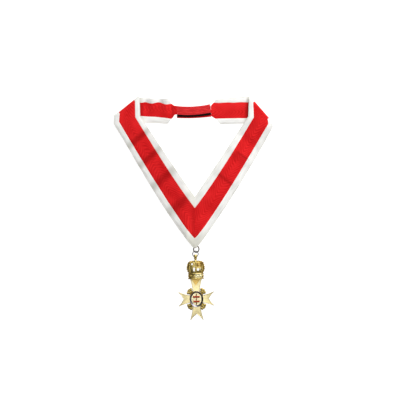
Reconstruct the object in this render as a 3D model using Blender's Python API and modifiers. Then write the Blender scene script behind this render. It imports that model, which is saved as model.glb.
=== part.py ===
"""A neck collar of red moire ribbon with white edges, lying flat, with a crowned cross jewel on two rings.

The frame is in metres: X to the right, Y from the jewel up to the nape, Z up from the surface it lies on.
The tables are in millimetres.
"""

import math
from collections import namedtuple

import bmesh
import bpy
from mathutils import Matrix, Vector

MM = 0.001
WELD = 0.00001
SHARP = math.radians(35)  # an edge this far from flat is a crease

# The ribbon: where its four lines run. A row is a section across one half of the ribbon, and a pair is
# the X and Y at which the section crosses the outer edge, the two seams of the red band and the inner edge.
Section = namedtuple("Section", "name outer seam_out seam_in inner z_outer z_inner")
LEFT = (
    Section("mitre", (2.4, -57.3), (2.4, -42.0), (2.4, 0.1), (2.4, 13.7), 5.9, 1.4),
    Section("dart", (-111.0, 117.7), (-103.2, 120.5), (-80.5, 126.8), (-73.6, 128.4), 5.0, 5.0),
    Section("fold", (-111.8, 129.6), (-104.0, 134.1), (-82.5, 151.3), (-76.0, 156.7), 5.0, 5.0),
    Section("neck", (-70.0, 119.8), (-70.0, 128.5), (-70.0, 147.1), (-70.1, 153.9), 0.6, 1.0),
    Section("nape", (-50.8, 118.9), (-50.8, 127.4), (-50.8, 147.1), (-50.8, 153.0), 0.6, 1.0),
    Section("end", (-35.3, 117.9), (-30.0, 124.9), (-30.5, 145.3), (-34.0, 152.2), 0.8, 1.2),
)
RIGHT = (
    Section("mitre", (2.4, -57.3), (2.4, -42.0), (2.4, 0.1), (2.4, 13.7), 5.9, 1.4),
    Section("dart", (112.0, 114.7), (105.0, 117.4), (84.8, 126.6), (77.0, 127.9), 5.0, 5.0),
    Section("fold", (111.8, 117.9), (106.3, 126.1), (86.1, 149.1), (80.1, 155.9), 5.0, 5.0),
    Section("neck", (73.5, 118.0), (74.9, 125.7), (76.0, 148.0), (76.4, 156.2), 0.6, 0.6),
    Section("nape", (54.6, 117.9), (54.6, 125.5), (54.6, 147.7), (54.6, 154.3), 0.6, 0.6),
    Section("end", (38.2, 117.3), (31.6, 125.1), (28.7, 147.1), (31.5, 152.0), 0.6, 0.6),
)
# How each of an arm's four lines bows outwards: depth, and how fast it comes from the mitre and to the dart
Bow = namedtuple("Bow", "depth rise fall")
LEFT_BOWS = (Bow(4.4, 0.9, 1.6), Bow(3.45, 0.55, 1.05), Bow(1.8, 0.9, 1.3), Bow(0.4, 1.0, 1.5))
RIGHT_BOWS = (Bow(4.7, 0.62, 0.82), Bow(3.7, 0.6, 1.15), Bow(2.15, 0.8, 1.1), Bow(0.5, 1.0, 1.5))
# How the red band narrows past its folded corners: lower and upper point, height of the middle
Taper = namedtuple("Taper", "lower upper z")
LEFT_TAPER = (
    Taper((-25.9, 130.3), (-26.9, 143.5), 2.6),
    Taper((-22.4, 130.9), (-22.4, 142.5), 3.5),
)
RIGHT_TAPER = (Taper((25.9, 128.9), (25.2, 142.9), 0.6),)
TRACK_SHARE = (0.0, 0.217, 0.785, 1.0)  # of the width, at the outer edge, the seams and the inner edge
LAYER = 1.2 * MM  # thickness of the ribbon and of its edging
SEAM_GAP = 0.15 * MM  # from a seam, or from the mitre, to the cloth on either side of it
MITRE_GAP = 0.25 * MM
REST = 0.6 * MM  # height of the middle of a layer that lies on the surface
FOLD_TOP = 5.0 * MM  # height of the upper layer at the shoulders
FOLD_RADIUS = (FOLD_TOP - REST) / 2
TIP_RUN = 0.26  # share of the arm over which it comes down from the raised tip
SHOULDER_RUN = 0.24  # share of the arm over which it climbs onto the neck band
ARM_BANK = 1.6 * MM  # how far the inner edge stands above the outer one
WAVE_FIRST = 28.6 * MM  # from the dart to the first wave, and the waves widen down the arm
WAVE_GROWTH = 1.12
WAVE_LEAN = 0.35  # share of the second harmonic, which makes a wave's lower side the steeper one
Half = namedtuple("Half", "name side rows bows taper wave ruffle ruffle_shift")
HALVES = (
    Half("left", -1, LEFT, LEFT_BOWS, LEFT_TAPER, 1.5 * MM, 1.5 * MM, 1.0 * MM),
    Half("right", 1, RIGHT, RIGHT_BOWS, RIGHT_TAPER, 0.5 * MM, 0.4 * MM, 0.2 * MM),
)
RUFFLE_PITCH = 19.6 * MM
RUFFLE_FIRST = 67.2 * MM  # distance of the first ruffle from the middle of the frame
RUFFLE_RUN = 8.0 * MM  # over which the ruffles fade in beside the arm
# Steps along each stretch of a half: the arm, the shoulder, the fold, the neck band and the taper
ARM_STEPS = 22
SHOULDER_STEPS = 2
FOLD_STEPS = 6
BAND_STEPS = 18
RED_STEPS = 4
EDGING_STEPS = 2

# The fastening: middle line of each layer at three places, its width, thickness and height
Strap = namedtuple("Strap", "name line width thick z colour")
TAB_THICK = 1.0 * MM
TAPE_THICK = 1.4 * MM
LAYER_GAP = 0.3 * MM
TAPE_Z = TAB_THICK + LAYER_GAP + TAPE_THICK / 2
TAB_FRONT_Z = TAPE_Z + TAPE_THICK / 2 + LAYER_GAP + TAB_THICK / 2
STRAPS = (
    Strap(
        "tab_rear", ((-22.4, 131.9), (-4.2, 132.5), (24.8, 135.5)), 13.2, TAB_THICK, TAB_THICK / 2, "red"
    ),
    Strap(
        "fastening_tape", ((-22.4, 132.9), (-4.2, 133.4), (24.8, 136.6)), 12.2, TAPE_THICK, TAPE_Z, "black"
    ),
    Strap(
        "tab_front", ((-22.0, 136.7), (-4.2, 136.1), (23.4, 139.2)), 11.8, TAB_THICK, TAB_FRONT_Z, "red"
    ),
)
STRAP_STEPS = 12

# The hanger: the rings' mean radius, wire, centre, and tilts about Y and X
Ring = namedtuple("Ring", "name radius wire centre tilt_y tilt_x")
RINGS = (
    Ring("ring_upper", 4.35, 0.70, (4.6, -57.5, 2.94), -30.0, -8.0),
    Ring("ring_lower", 3.95, 0.50, (3.4, -64.1, 3.30), 15.0, 0.0),
)
RING_SIDES = 16
WIRE_SIDES = 6
LOOP_THREAD = 0.4 * MM
LOOP_REACH = 3.4 * MM  # half its length along Y
LOOP_RISE = 1.85 * MM  # half its height
LOOP_CENTRE = (4.6 * MM, -51.6 * MM, 2.34 * MM)
LOOP_POINTS = 14

# The jewel, in its own frame: the middle of the cross at the origin, Y up to the bail, Z off its flat back
JEWEL_PLACE = (4.9 * MM, -127.1 * MM, 0.0)
JEWEL_TURN = math.radians(1.4)
PLATE_THICK = 2.0 * MM
CrossArm = namedtuple("CrossArm", "turn reach spread notch root")
CROSS_ARMS = (
    CrossArm(0, 24.6, 10.3, 17.4, 4.6),
    CrossArm(90, 33.5, 9.9, 24.0, 4.4),
    CrossArm(180, 25.2, 10.4, 17.9, 4.6),
    CrossArm(270, 29.4, 9.2, 21.0, 4.4),
)
SIDE_HOLLOW = 1.2  # how far the side of an arm bends in
NOTCH_HOLLOW = 1.0  # how far the sides of a notch bend towards the middle
CURVE_STEPS = 4
# The scrolled ornament in one angle between the arms, mirrored into the other three
Lobe = namedtuple("Lobe", "x y radius")
LOBES = (Lobe(7.7, 13.1, 2.4), Lobe(11.3, 8.9, 2.4), Lobe(10.4, 11.9, 2.0), Lobe(8.3, 9.9, 2.1))
LOBE_Z = 1.1 * MM
LOBE_HEIGHT = 1.05 * MM
STEM_REACH = 13.0 * MM
STEM_TURN = math.radians(50)
STEM_WIDTH = 6.4 * MM
STEM_THICK = 1.4 * MM
STEM_Z = 0.9 * MM
TONGUE = ((-6.3, 28.6), (6.9, 28.6), (-0.5, 19.0))  # over the notch of the upper arm
TONGUE_THICK = 2.7 * MM

# The crown: a half-round hollow casting, the outer radius at each height
Turn = namedtuple("Turn", "height radius")
CROWN = (
    Turn(53.0, 0.0), Turn(52.6, 7.6), Turn(51.2, 10.2), Turn(48.4, 11.4), Turn(43.2, 12.4),
    Turn(39.4, 11.4), Turn(36.9, 10.0), Turn(35.6, 11.1), Turn(34.4, 10.4), Turn(30.0, 10.4),
    Turn(29.2, 11.2), Turn(28.1, 11.2), Turn(28.1, 0.0),
)
CROWN_HOLLOW = (
    Turn(51.4, 0.0), Turn(51.0, 7.4), Turn(48.0, 9.9), Turn(43.2, 10.8), Turn(38.0, 9.2), Turn(36.6, 8.6),
    Turn(29.6, 8.8), Turn(29.6, 0.0),
)
CROWN_FLAT = 0.52  # its depth as a share of its radius
TURN_STEPS = 32
# Its openings: middle, and half width and half height
Window = namedtuple("Window", "x y half_width half_height")
WINDOWS = (
    Window(-2.4, 41.6, 1.4, 3.0), Window(3.1, 41.4, 1.6, 2.0), Window(-5.0, 49.0, 1.4, 1.3),
)
WINDOW_SIDES = 12
CUT_SIZE = 40.0 * MM  # longer than anything that is cut
RIB_TURNS = (-72, -44, 0, 44, 72)  # degrees round the crown
RIB_RADIUS = 0.75 * MM
RIB_FIRST = 1  # rows of the crown's table that a rib follows
RIB_LAST = 7
STUD_TURNS = (-68, -40, -13, 13, 40, 68)
STUD_SEAT = Turn(32.2, 10.4)
STUD_RADIUS = 1.4 * MM
STUD_SIDES = 8
LOBE_SIDES = 10
BALL_RINGS = 6
# The bail: a small turned vase with a hole from side to side
BAIL = (
    Turn(62.2, 0.0), Turn(62.2, 1.9), Turn(61.5, 2.6), Turn(59.5, 2.7), Turn(57.4, 2.5), Turn(56.2, 1.7),
    Turn(54.6, 1.6), Turn(53.2, 2.1), Turn(51.8, 2.1), Turn(51.8, 0.0),
)
BAIL_Z = 3.3 * MM
BAIL_HOLE_Y = 59.7 * MM
BAIL_HOLE = 1.6 * MM
BAIL_STEPS = 16

# The medallion
RIM_HALF_WIDTH = 8.4 * MM  # to the middle of the rim's wire
RIM_HALF_HEIGHT = 10.0 * MM
RIM_WIRE = 1.1 * MM
RIM_SIDES = 32
RIM_WIRE_SIDES = 8
FIELD_THICK = 1.1 * MM
FIELD_SIDES = 32
MEDALLION_GAP = 0.3 * MM
CROSS_THICK = 0.5 * MM
STEM_HALF_HEIGHT = 7.7 * MM
STEM_HALF_WIDTH = 0.6 * MM
BAR_HALF_WIDTH = 4.9 * MM
BAR_HALF_HEIGHT = 0.9 * MM
BARS_Y = (3.2 * MM, -3.3 * MM)

# Finishes: colour, roughness, metallic
Finish = namedtuple("Finish", "colour roughness metallic")
FINISHES = {
    "red": Finish((0.68, 0.015, 0.018), 0.45, 0.0),
    "white": Finish((0.84, 0.83, 0.80), 0.60, 0.0),
    "black": Finish((0.012, 0.010, 0.010), 0.85, 0.0),
    "steel": Finish((0.42, 0.42, 0.43), 0.30, 1.0),
    "gold": Finish((0.90, 0.72, 0.36), 0.28, 1.0),
    "polished": Finish((0.80, 0.79, 0.80), 0.08, 1.0),
    "field": Finish((0.90, 0.82, 0.52), 0.35, 0.6),
    "enamel": Finish((0.52, 0.045, 0.012), 0.20, 0.0),
}

for leftover in list(bpy.data.objects):
    bpy.data.objects.remove(leftover)

PARTS = bpy.data.collections.new("masonic_collar")
bpy.context.scene.collection.children.link(PARTS)
CUTTERS = bpy.data.collections.new("cutters")
bpy.context.scene.collection.children.link(CUTTERS)


def material(name):
    """The Principled material of a finish, made once."""
    found = bpy.data.materials.get(name)
    if found:
        return found
    finish = FINISHES[name]
    made = bpy.data.materials.new(name)
    made.use_nodes = True
    shader = made.node_tree.nodes["Principled BSDF"]
    shader.inputs["Base Color"].default_value = (*finish.colour, 1.0)
    shader.inputs["Roughness"].default_value = finish.roughness
    shader.inputs["Metallic"].default_value = finish.metallic
    return made


def mm(pair, z=0.0):
    """A table's millimetres as a point in metres, at height z."""
    return Vector((pair[0] * MM, pair[1] * MM, z))


def smooth(share):
    """0 to 1 with level ends."""
    held = min(max(share, 0.0), 1.0)
    return held * held * (3 - 2 * held)


def linked(name, data, finish=None):
    """A new object in the model's collection."""
    made = bpy.data.objects.new(name, data)
    PARTS.objects.link(made)
    if finish:
        data.materials.append(material(finish))
    return made


def adopted(name, finish=None):
    """The primitive that was just added, renamed and moved to the model's collection."""
    made = bpy.context.object
    for home in list(made.users_collection):
        home.objects.unlink(made)
    made.name = name
    PARTS.objects.link(made)
    if finish:
        made.data.materials.append(material(finish))
    return made


def baked(made, finish=None):
    """The object with its modifiers, caps and place worked into one welded mesh."""
    bpy.context.view_layer.update()
    graph = bpy.context.evaluated_depsgraph_get()
    mesh = bpy.data.meshes.new_from_object(made.evaluated_get(graph))
    mesh.transform(made.matrix_world)
    shape = bmesh.new()
    shape.from_mesh(mesh)
    bmesh.ops.remove_doubles(shape, verts=shape.verts, dist=WELD)
    bmesh.ops.recalc_face_normals(shape, faces=shape.faces)
    shape.to_mesh(mesh)
    shape.free()
    mesh.materials.clear()
    name = made.name
    bpy.data.objects.remove(made)
    return linked(name, mesh, finish)


def combined(body, others, operation, finish=None):
    """The body with the others cut from it or joined to it, as one plain mesh."""
    for other in others:
        step = body.modifiers.new(other.name, "BOOLEAN")
        step.operation = operation
        step.solver = "EXACT"
        step.object = other
    whole = baked(body, finish)
    for other in others:
        bpy.data.objects.remove(other)
    return whole


def cutter(made):
    """The object as a cutter, which is no part of the model."""
    PARTS.objects.unlink(made)
    CUTTERS.objects.link(made)
    made.hide_render = True
    made.display_type = "WIRE"
    return made


def turned(name, rows, steps, squash=1.0):
    """A turned solid about Y from a table of heights and radii, flattened along Z by squash."""
    shape = bmesh.new()
    rim = [shape.verts.new((row.radius * MM, 0.0, row.height * MM)) for row in rows]
    for upper, lower in zip(rim, rim[1:]):
        shape.edges.new((upper, lower))
    mesh = bpy.data.meshes.new(name)
    shape.to_mesh(mesh)
    shape.free()
    made = linked(name, mesh)
    turn = made.modifiers.new("turn", "SCREW")
    turn.steps = steps
    turn.render_steps = steps
    turn.use_merge_vertices = True
    turn.merge_threshold = WELD
    made.scale = (1.0, squash, 1.0)
    made.rotation_euler = (-math.pi / 2, 0.0, 0.0)
    return baked(made)


def wire(name, points, radius, closed=False, finish=None):
    """A round wire through the points."""
    curve = bpy.data.curves.new(name, "CURVE")
    curve.dimensions = "3D"
    spline = curve.splines.new("POLY")
    spline.points.add(len(points) - 1)
    for knot, point in zip(spline.points, points):
        knot.co = (*point, 1.0)
    spline.use_cyclic_u = closed
    curve.bevel_depth = radius
    curve.bevel_resolution = 1
    curve.use_fill_caps = not closed
    return baked(linked(name, curve), finish)


def plate(name, outline, thick, finish=None):
    """A flat plate standing on Z = 0, from its outline in millimetres."""
    curve = bpy.data.curves.new(name, "CURVE")
    curve.dimensions = "2D"
    curve.fill_mode = "BOTH"
    curve.extrude = thick / 2
    spline = curve.splines.new("POLY")
    spline.points.add(len(outline) - 1)
    for knot, (x, y) in zip(spline.points, outline):
        knot.co = (x * MM, y * MM, 0.0, 1.0)
    spline.use_cyclic_u = True
    made = linked(name, curve)
    made.location.z = thick / 2
    return baked(made, finish)


def sheet(name, place, along, across, thick, finish):
    """A cloth strip: a grid whose middle surface is place(i, j), given its thickness."""
    shape = bmesh.new()
    bmesh.ops.create_grid(shape, x_segments=along, y_segments=across, size=1.0)
    for vertex in shape.verts:
        i = round((vertex.co.x + 1) / 2 * along)
        j = round((vertex.co.y + 1) / 2 * across)
        vertex.co = place(i, j)
    mesh = bpy.data.meshes.new(name)
    shape.to_mesh(mesh)
    shape.free()
    mesh.shade_smooth()
    made = linked(name, mesh, finish)
    wall = made.modifiers.new("wall", "SOLIDIFY")
    wall.thickness = thick
    wall.offset = 0.0
    return made


def row_of(half, name):
    return next(row for row in half.rows if row.name == name)


def crossing(row, track):
    """The X and Y where a section meets one of the four lines."""
    return mm((row.outer, row.seam_out, row.seam_in, row.inner)[track])


def bowed(line, share):
    """How far an arm's line stands outside the straight one."""
    peak = line.rise / (line.rise + line.fall)
    high = peak**line.rise * (1 - peak) ** line.fall
    return line.depth * MM * share**line.rise * (1 - share) ** line.fall / high


def arm_height(half, across, share, to_dart):
    """The height of an arm: raised at the tip, waved in the middle and climbing at the shoulder."""
    mitre = row_of(half, "mitre")
    tip = (mitre.z_outer + (mitre.z_inner - mitre.z_outer) * across) * MM
    near_tip = 1 - smooth(share / TIP_RUN)
    near_dart = smooth((share - 1 + SHOULDER_RUN) / SHOULDER_RUN)
    turns = (to_dart / WAVE_FIRST) ** (1 / WAVE_GROWTH)
    turn = math.tau * turns
    wave = half.wave * (1 + WAVE_LEAN / 2 - math.sin(turn) - WAVE_LEAN * math.sin(2 * turn))
    lying = REST + ARM_BANK * across + wave
    return tip * near_tip + FOLD_TOP * near_dart + lying * (1 - near_tip - near_dart)


def arm(half, track, share):
    """A point of an arm, from the mitre at 0 to the dart at 1."""
    low = crossing(row_of(half, "mitre"), track)
    high = crossing(row_of(half, "dart"), track)
    low.x += half.side * MITRE_GAP
    way = high - low
    outward = Vector((half.side * way.y, -half.side * way.x, 0.0)).normalized()
    point = low + way * share + outward * bowed(half.bows[track], share)
    point.z = arm_height(half, TRACK_SHARE[track], share, (1 - share) * way.length)
    return point


def fold_edge(half, track):
    """A point of the fold's line, set in from its outside by the fold's radius, and the way out of it."""
    fold = row_of(half, "fold")
    line = (crossing(fold, 3) - crossing(fold, 0)).normalized()
    out = Vector((line.y, -line.x, 0.0)) * half.side
    return crossing(fold, track) - out * (FOLD_RADIUS + LAYER / 2), out


def shoulder(half, track, share):
    """A point between the dart at 0 and the fold at 1."""
    dart = crossing(row_of(half, "dart"), track)
    edge, _ = fold_edge(half, track)
    point = dart.lerp(edge, share)
    point.z = FOLD_TOP
    return point


def fold(half, track, share):
    """A point of the half-round fold, from the upper layer at 0 to the lower one at 1."""
    edge, out = fold_edge(half, track)
    turn = math.pi * share
    point = edge + out * FOLD_RADIUS * math.sin(turn)
    point.z = REST + FOLD_RADIUS * (1 + math.cos(turn))
    return point


def band(half, track, share):
    """A point of the neck band, from the fold at 0 to its folded end at 1, on one smooth line."""
    stops = [fold_edge(half, track)[0]]
    heights = [REST]
    for name in ("neck", "nape", "end"):
        row = row_of(half, name)
        stops.append(crossing(row, track))
        heights.append((row.z_outer + (row.z_inner - row.z_outer) * TRACK_SHARE[track]) * MM)
    reach = share * (len(stops) - 1)
    first = min(int(reach), len(stops) - 2)
    part = reach - first
    before = stops[max(first - 1, 0)]
    start, stop = stops[first], stops[first + 1]
    after = stops[min(first + 2, len(stops) - 1)]
    leave, arrive = (stop - before) / 2, (after - start) / 2
    point = (
        start * (2 * part**3 - 3 * part**2 + 1)
        + leave * (part**3 - 2 * part**2 + part)
        + stop * (3 * part**2 - 2 * part**3)
        + arrive * (part**3 - part**2)
    )
    point.z = heights[first] + (heights[first + 1] - heights[first]) * smooth(part)
    return ruffled(half, track, point)


def ruffled(half, track, point):
    """The point lifted and shifted by the ruffles of the neck band's upper edge."""
    inward = abs(point.x)
    shown = smooth((RUFFLE_FIRST + RUFFLE_RUN - inward) / RUFFLE_RUN)
    turn = math.tau * (RUFFLE_FIRST - inward) / RUFFLE_PITCH
    hold = max(TRACK_SHARE[track] - TRACK_SHARE[1], 0.0) / (1 - TRACK_SHARE[1])
    point.z += half.ruffle * (1 - math.cos(turn)) * hold**2 * shown
    if track == 2:
        point.y += half.ruffle_shift * math.cos(turn) * shown
    return point


STRETCHES = ((arm, ARM_STEPS), (shoulder, SHOULDER_STEPS), (fold, FOLD_STEPS), (band, BAND_STEPS))


def line_of(half, track):
    """All the points of one of a half's four lines, from the mitre to the end of the neck band."""
    points = [arm(half, track, 0.0)]
    for stretch, steps in STRETCHES:
        points += [stretch(half, track, (i + 1) / steps) for i in range(steps)]
    return points


def strip(name, half, lower, upper, across, finish, taper=()):
    """A strip of the ribbon between two lines, with a seam's gap along each side that is sewn."""
    starts = line_of(half, lower) + [mm(row.lower, row.z * MM) for row in taper]
    stops = line_of(half, upper) + [mm(row.upper, row.z * MM) for row in taper]
    sewn_lower = lower > 0
    sewn_upper = upper < len(TRACK_SHARE) - 1

    def place(i, j):
        width = (stops[i] - starts[i]).length
        near = SEAM_GAP / width * sewn_lower
        far = 1 - SEAM_GAP / width * sewn_upper
        return starts[i].lerp(stops[i], near + (far - near) * j / across)

    return sheet(name, place, len(starts) - 1, across, LAYER, finish)


def make_ribbon(half):
    """One half of the ribbon: the red band and its two white edgings."""
    strip("edging_" + half.name + "_outer", half, 0, 1, EDGING_STEPS, "white")
    strip("ribbon_" + half.name, half, 1, 2, RED_STEPS, "red", half.taper)
    strip("edging_" + half.name + "_inner", half, 2, 3, EDGING_STEPS, "white")


def make_strap(strap):
    """A layer of the fastening: a flat strip on a middle line that bends through three places."""
    first, middle, last = (mm(pair) for pair in strap.line)

    def place(i, j):
        share = i / STRAP_STEPS
        hump = share * (1 - share) * 4
        line = first.lerp(last, share) + (middle - first.lerp(last, 0.5)) * hump
        line.x = first.x + (last.x - first.x) * share
        line.y += (j - 1) * strap.width * MM / 2
        line.z = strap.z
        return line

    sheet(strap.name, place, STRAP_STEPS, 2, strap.thick, strap.colour)


def make_ring(ring):
    """A round wire ring, tilted."""
    bpy.ops.mesh.primitive_torus_add(
        location=[value * MM for value in ring.centre],
        rotation=(math.radians(ring.tilt_x), math.radians(ring.tilt_y), 0.0),
        major_segments=RING_SIDES,
        minor_segments=WIRE_SIDES,
        major_radius=ring.radius * MM,
        minor_radius=ring.wire * MM,
    )
    adopted(ring.name, "steel").data.shade_smooth()


def make_thread_loop():
    """The small sewn loop behind the tip that the upper ring goes through."""
    points = []
    for i in range(LOOP_POINTS):
        turn = math.tau * i / LOOP_POINTS
        offset = Vector((0.0, LOOP_REACH * math.cos(turn), LOOP_RISE * math.sin(turn)))
        points.append(Vector(LOOP_CENTRE) + offset)
    wire("thread_loop", points, LOOP_THREAD, closed=True, finish="white")


def arc_points(start, stop, towards, depth):
    """Points from start up to stop, bent by depth towards a point."""
    middle = (start + stop) / 2
    pull = (towards - middle).normalized() * depth
    shares = [i / CURVE_STEPS for i in range(CURVE_STEPS)]
    return [start.lerp(stop, share) + pull * 4 * share * (1 - share) for share in shares]


def cross_outline():
    """The outline of the eight-pointed cross, arm by arm."""
    outline = []
    for arm_row, next_row in zip(CROSS_ARMS, CROSS_ARMS[1:] + CROSS_ARMS[:1]):
        turn = Matrix.Rotation(math.radians(arm_row.turn), 2)
        root_low = Vector((next_row.root, -arm_row.root))
        tip_low = Vector((arm_row.reach, -arm_row.spread))
        notch = Vector((arm_row.notch, 0.0))
        tip_high = Vector((arm_row.reach, arm_row.spread))
        root_high = Vector((next_row.root, arm_row.root))
        axis = Vector((arm_row.reach / 2, 0.0))
        middle = Vector((0.0, 0.0))
        points = arc_points(root_low, tip_low, axis, SIDE_HOLLOW)
        points += arc_points(tip_low, notch, middle, NOTCH_HOLLOW)
        points += arc_points(notch, tip_high, middle, NOTCH_HOLLOW)
        points += arc_points(tip_high, root_high, axis, SIDE_HOLLOW)
        outline += [tuple(turn @ point) for point in points]
    return outline


def crown_point(row, degrees):
    """A point on the crown's outer face, at a row of its table and a turn round it from the front."""
    turn = math.radians(degrees)
    across = row.radius * MM * math.sin(turn)
    return Vector((across, row.height * MM, row.radius * MM * math.cos(turn) * CROWN_FLAT))


def make_crown():
    """The pierced half-round crown, open at the back."""
    shell = turned("crown", CROWN, TURN_STEPS, CROWN_FLAT)
    hollow = cutter(turned("crown_hollow", CROWN_HOLLOW, TURN_STEPS, CROWN_FLAT))
    bpy.ops.mesh.primitive_cube_add(size=CUT_SIZE, location=(0.0, CUT_SIZE, -CUT_SIZE / 2))
    back = cutter(adopted("crown_back"))
    cuts = [hollow, back]
    for number, window in enumerate(WINDOWS):
        bpy.ops.mesh.primitive_cylinder_add(
            vertices=WINDOW_SIDES,
            radius=1.0,
            depth=CUT_SIZE,
            location=(window.x * MM, window.y * MM, 0.0),
            scale=(window.half_width * MM, window.half_height * MM, 1.0),
        )
        cuts.append(cutter(adopted(f"window_{number}")))
    return combined(shell, cuts, "DIFFERENCE")


def make_jewel():
    """The whole casting: bail, crown, tongue, cross and ornaments soldered into one body."""
    body = plate("jewel", cross_outline(), PLATE_THICK)
    joined = [make_crown(), plate("tongue", TONGUE, TONGUE_THICK)]
    bail = turned("bail", BAIL, BAIL_STEPS)
    bail.location.z = BAIL_Z
    bpy.ops.mesh.primitive_cylinder_add(
        vertices=BAIL_STEPS,
        radius=BAIL_HOLE,
        depth=CUT_SIZE,
        location=(0.0, BAIL_HOLE_Y, BAIL_Z),
        rotation=(0.0, math.pi / 2, 0.0),
    )
    joined.append(combined(bail, [cutter(adopted("bail_hole"))], "DIFFERENCE"))
    for degrees in RIB_TURNS:
        path = [crown_point(row, degrees) for row in CROWN[RIB_FIRST:RIB_LAST]]
        joined.append(wire("rib", path, RIB_RADIUS))
    for degrees in STUD_TURNS:
        bpy.ops.mesh.primitive_uv_sphere_add(
            segments=STUD_SIDES,
            ring_count=BALL_RINGS,
            radius=STUD_RADIUS,
            location=crown_point(STUD_SEAT, degrees),
        )
        joined.append(adopted("stud"))
    for side_x in (-1, 1):
        for side_y in (-1, 1):
            joined += make_ornament(side_x, side_y)
    place_on_ribbon(combined(body, joined, "UNION", "gold"))


def make_ornament(side_x, side_y):
    """The lobes and the stem of the ornament in one angle of the cross."""
    pieces = []
    for lobe in LOBES:
        bpy.ops.mesh.primitive_uv_sphere_add(
            segments=LOBE_SIDES,
            ring_count=BALL_RINGS,
            radius=1.0,
            location=(side_x * lobe.x * MM, side_y * lobe.y * MM, LOBE_Z),
            scale=(lobe.radius * MM, lobe.radius * MM, LOBE_HEIGHT),
        )
        pieces.append(adopted("lobe"))
    half_reach = Vector((math.cos(STEM_TURN), math.sin(STEM_TURN))) * STEM_REACH / 2
    bpy.ops.mesh.primitive_cube_add(
        size=1.0,
        location=(half_reach.x * side_x, half_reach.y * side_y, STEM_Z),
        rotation=(0.0, 0.0, STEM_TURN * side_x * side_y),
        scale=(STEM_REACH, STEM_WIDTH, STEM_THICK),
    )
    pieces.append(adopted("stem"))
    return pieces


def place_on_ribbon(made):
    """A piece of the jewel turned and moved to where the jewel lies."""
    made.data.transform(Matrix.Translation(JEWEL_PLACE) @ Matrix.Rotation(JEWEL_TURN, 4, "Z"))
    made.data.set_sharp_from_angle(angle=SHARP)
    return made


def make_medallion():
    """The oval rim, the field inside it and the two-barred cross on the field."""
    stand = PLATE_THICK + MEDALLION_GAP
    mean = (RIM_HALF_WIDTH + RIM_HALF_HEIGHT) / 2
    bpy.ops.mesh.primitive_torus_add(
        location=(0.0, 0.0, stand + RIM_WIRE),
        major_segments=RIM_SIDES,
        minor_segments=RIM_WIRE_SIDES,
        major_radius=mean,
        minor_radius=RIM_WIRE,
    )
    rim = adopted("medallion_rim")
    rim.scale = (RIM_HALF_WIDTH / mean, RIM_HALF_HEIGHT / mean, 1.0)
    place_on_ribbon(baked(rim, "polished"))

    inset = RIM_WIRE + MEDALLION_GAP
    bpy.ops.mesh.primitive_cylinder_add(
        vertices=FIELD_SIDES,
        radius=1.0,
        depth=FIELD_THICK,
        location=(0.0, 0.0, stand + FIELD_THICK / 2),
        scale=(RIM_HALF_WIDTH - inset, RIM_HALF_HEIGHT - inset, 1.0),
    )
    place_on_ribbon(baked(adopted("medallion_field"), "field"))

    level = stand + FIELD_THICK + MEDALLION_GAP + CROSS_THICK / 2
    bpy.ops.mesh.primitive_cube_add(
        size=2.0,
        location=(0.0, 0.0, level),
        scale=(STEM_HALF_WIDTH, STEM_HALF_HEIGHT, CROSS_THICK / 2),
    )
    stem = adopted("double_cross")
    bars = []
    for height in BARS_Y:
        bpy.ops.mesh.primitive_cube_add(
            size=2.0,
            location=(0.0, height, level),
            scale=(BAR_HALF_WIDTH, BAR_HALF_HEIGHT, CROSS_THICK / 2),
        )
        bars.append(adopted("bar"))
    place_on_ribbon(combined(stem, bars, "UNION", "enamel"))


for each_half in HALVES:
    make_ribbon(each_half)
for each_strap in STRAPS:
    make_strap(each_strap)
make_thread_loop()
for each_ring in RINGS:
    make_ring(each_ring)
make_jewel()
make_medallion()
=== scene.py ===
"""A neck collar of red moire ribbon with white edges and a crowned cross jewel, dressed for a render.

The frame is in metres: X to the right, Y from the jewel up to the nape, Z up from the surface it lies on.
The tables are in millimetres.
"""

import math
from collections import namedtuple

import bmesh
import bpy
from bpy.props import FloatProperty, FloatVectorProperty, PointerProperty
from mathutils import Matrix, Vector, noise


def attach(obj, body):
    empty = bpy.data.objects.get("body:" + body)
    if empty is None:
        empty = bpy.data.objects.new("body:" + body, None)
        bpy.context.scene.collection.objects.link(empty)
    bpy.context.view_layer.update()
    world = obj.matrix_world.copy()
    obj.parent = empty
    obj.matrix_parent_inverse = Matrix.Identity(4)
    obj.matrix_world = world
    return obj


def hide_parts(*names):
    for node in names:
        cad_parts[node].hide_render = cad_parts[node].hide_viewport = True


bl_info = {
    "name": "Ribbon collar with jewel",
    "version": (1, 0, 0),
    "blender": (4, 5, 0),
    "location": "3D View > Sidebar > Collar",
    "description": "Builds a ribbon neck collar with its fastening, rings and crowned cross jewel",
    "category": "Add Mesh",
}

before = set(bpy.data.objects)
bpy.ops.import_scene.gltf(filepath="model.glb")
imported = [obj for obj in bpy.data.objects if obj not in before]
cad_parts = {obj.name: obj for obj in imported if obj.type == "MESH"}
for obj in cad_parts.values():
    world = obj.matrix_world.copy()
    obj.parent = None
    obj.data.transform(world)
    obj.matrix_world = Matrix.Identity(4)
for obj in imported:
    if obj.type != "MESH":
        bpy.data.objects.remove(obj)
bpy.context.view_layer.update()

MM = 0.001
WELD = 0.000001  # points nearer than this are made one
LEVEL = 0.9  # the part of a face's normal along a way, past which the face looks that way
# Angles in degrees up to which a form's faces are shaded as one
PLATE_ANGLE = 22
SET_ANGLE = 30
CAST_ANGLE = 35
WIRE_ANGLE = 40
SOFT_ANGLE = 50
LOBE_ANGLE = 60
SNAP = 0.00002  # how near a place counts as that place

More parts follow.
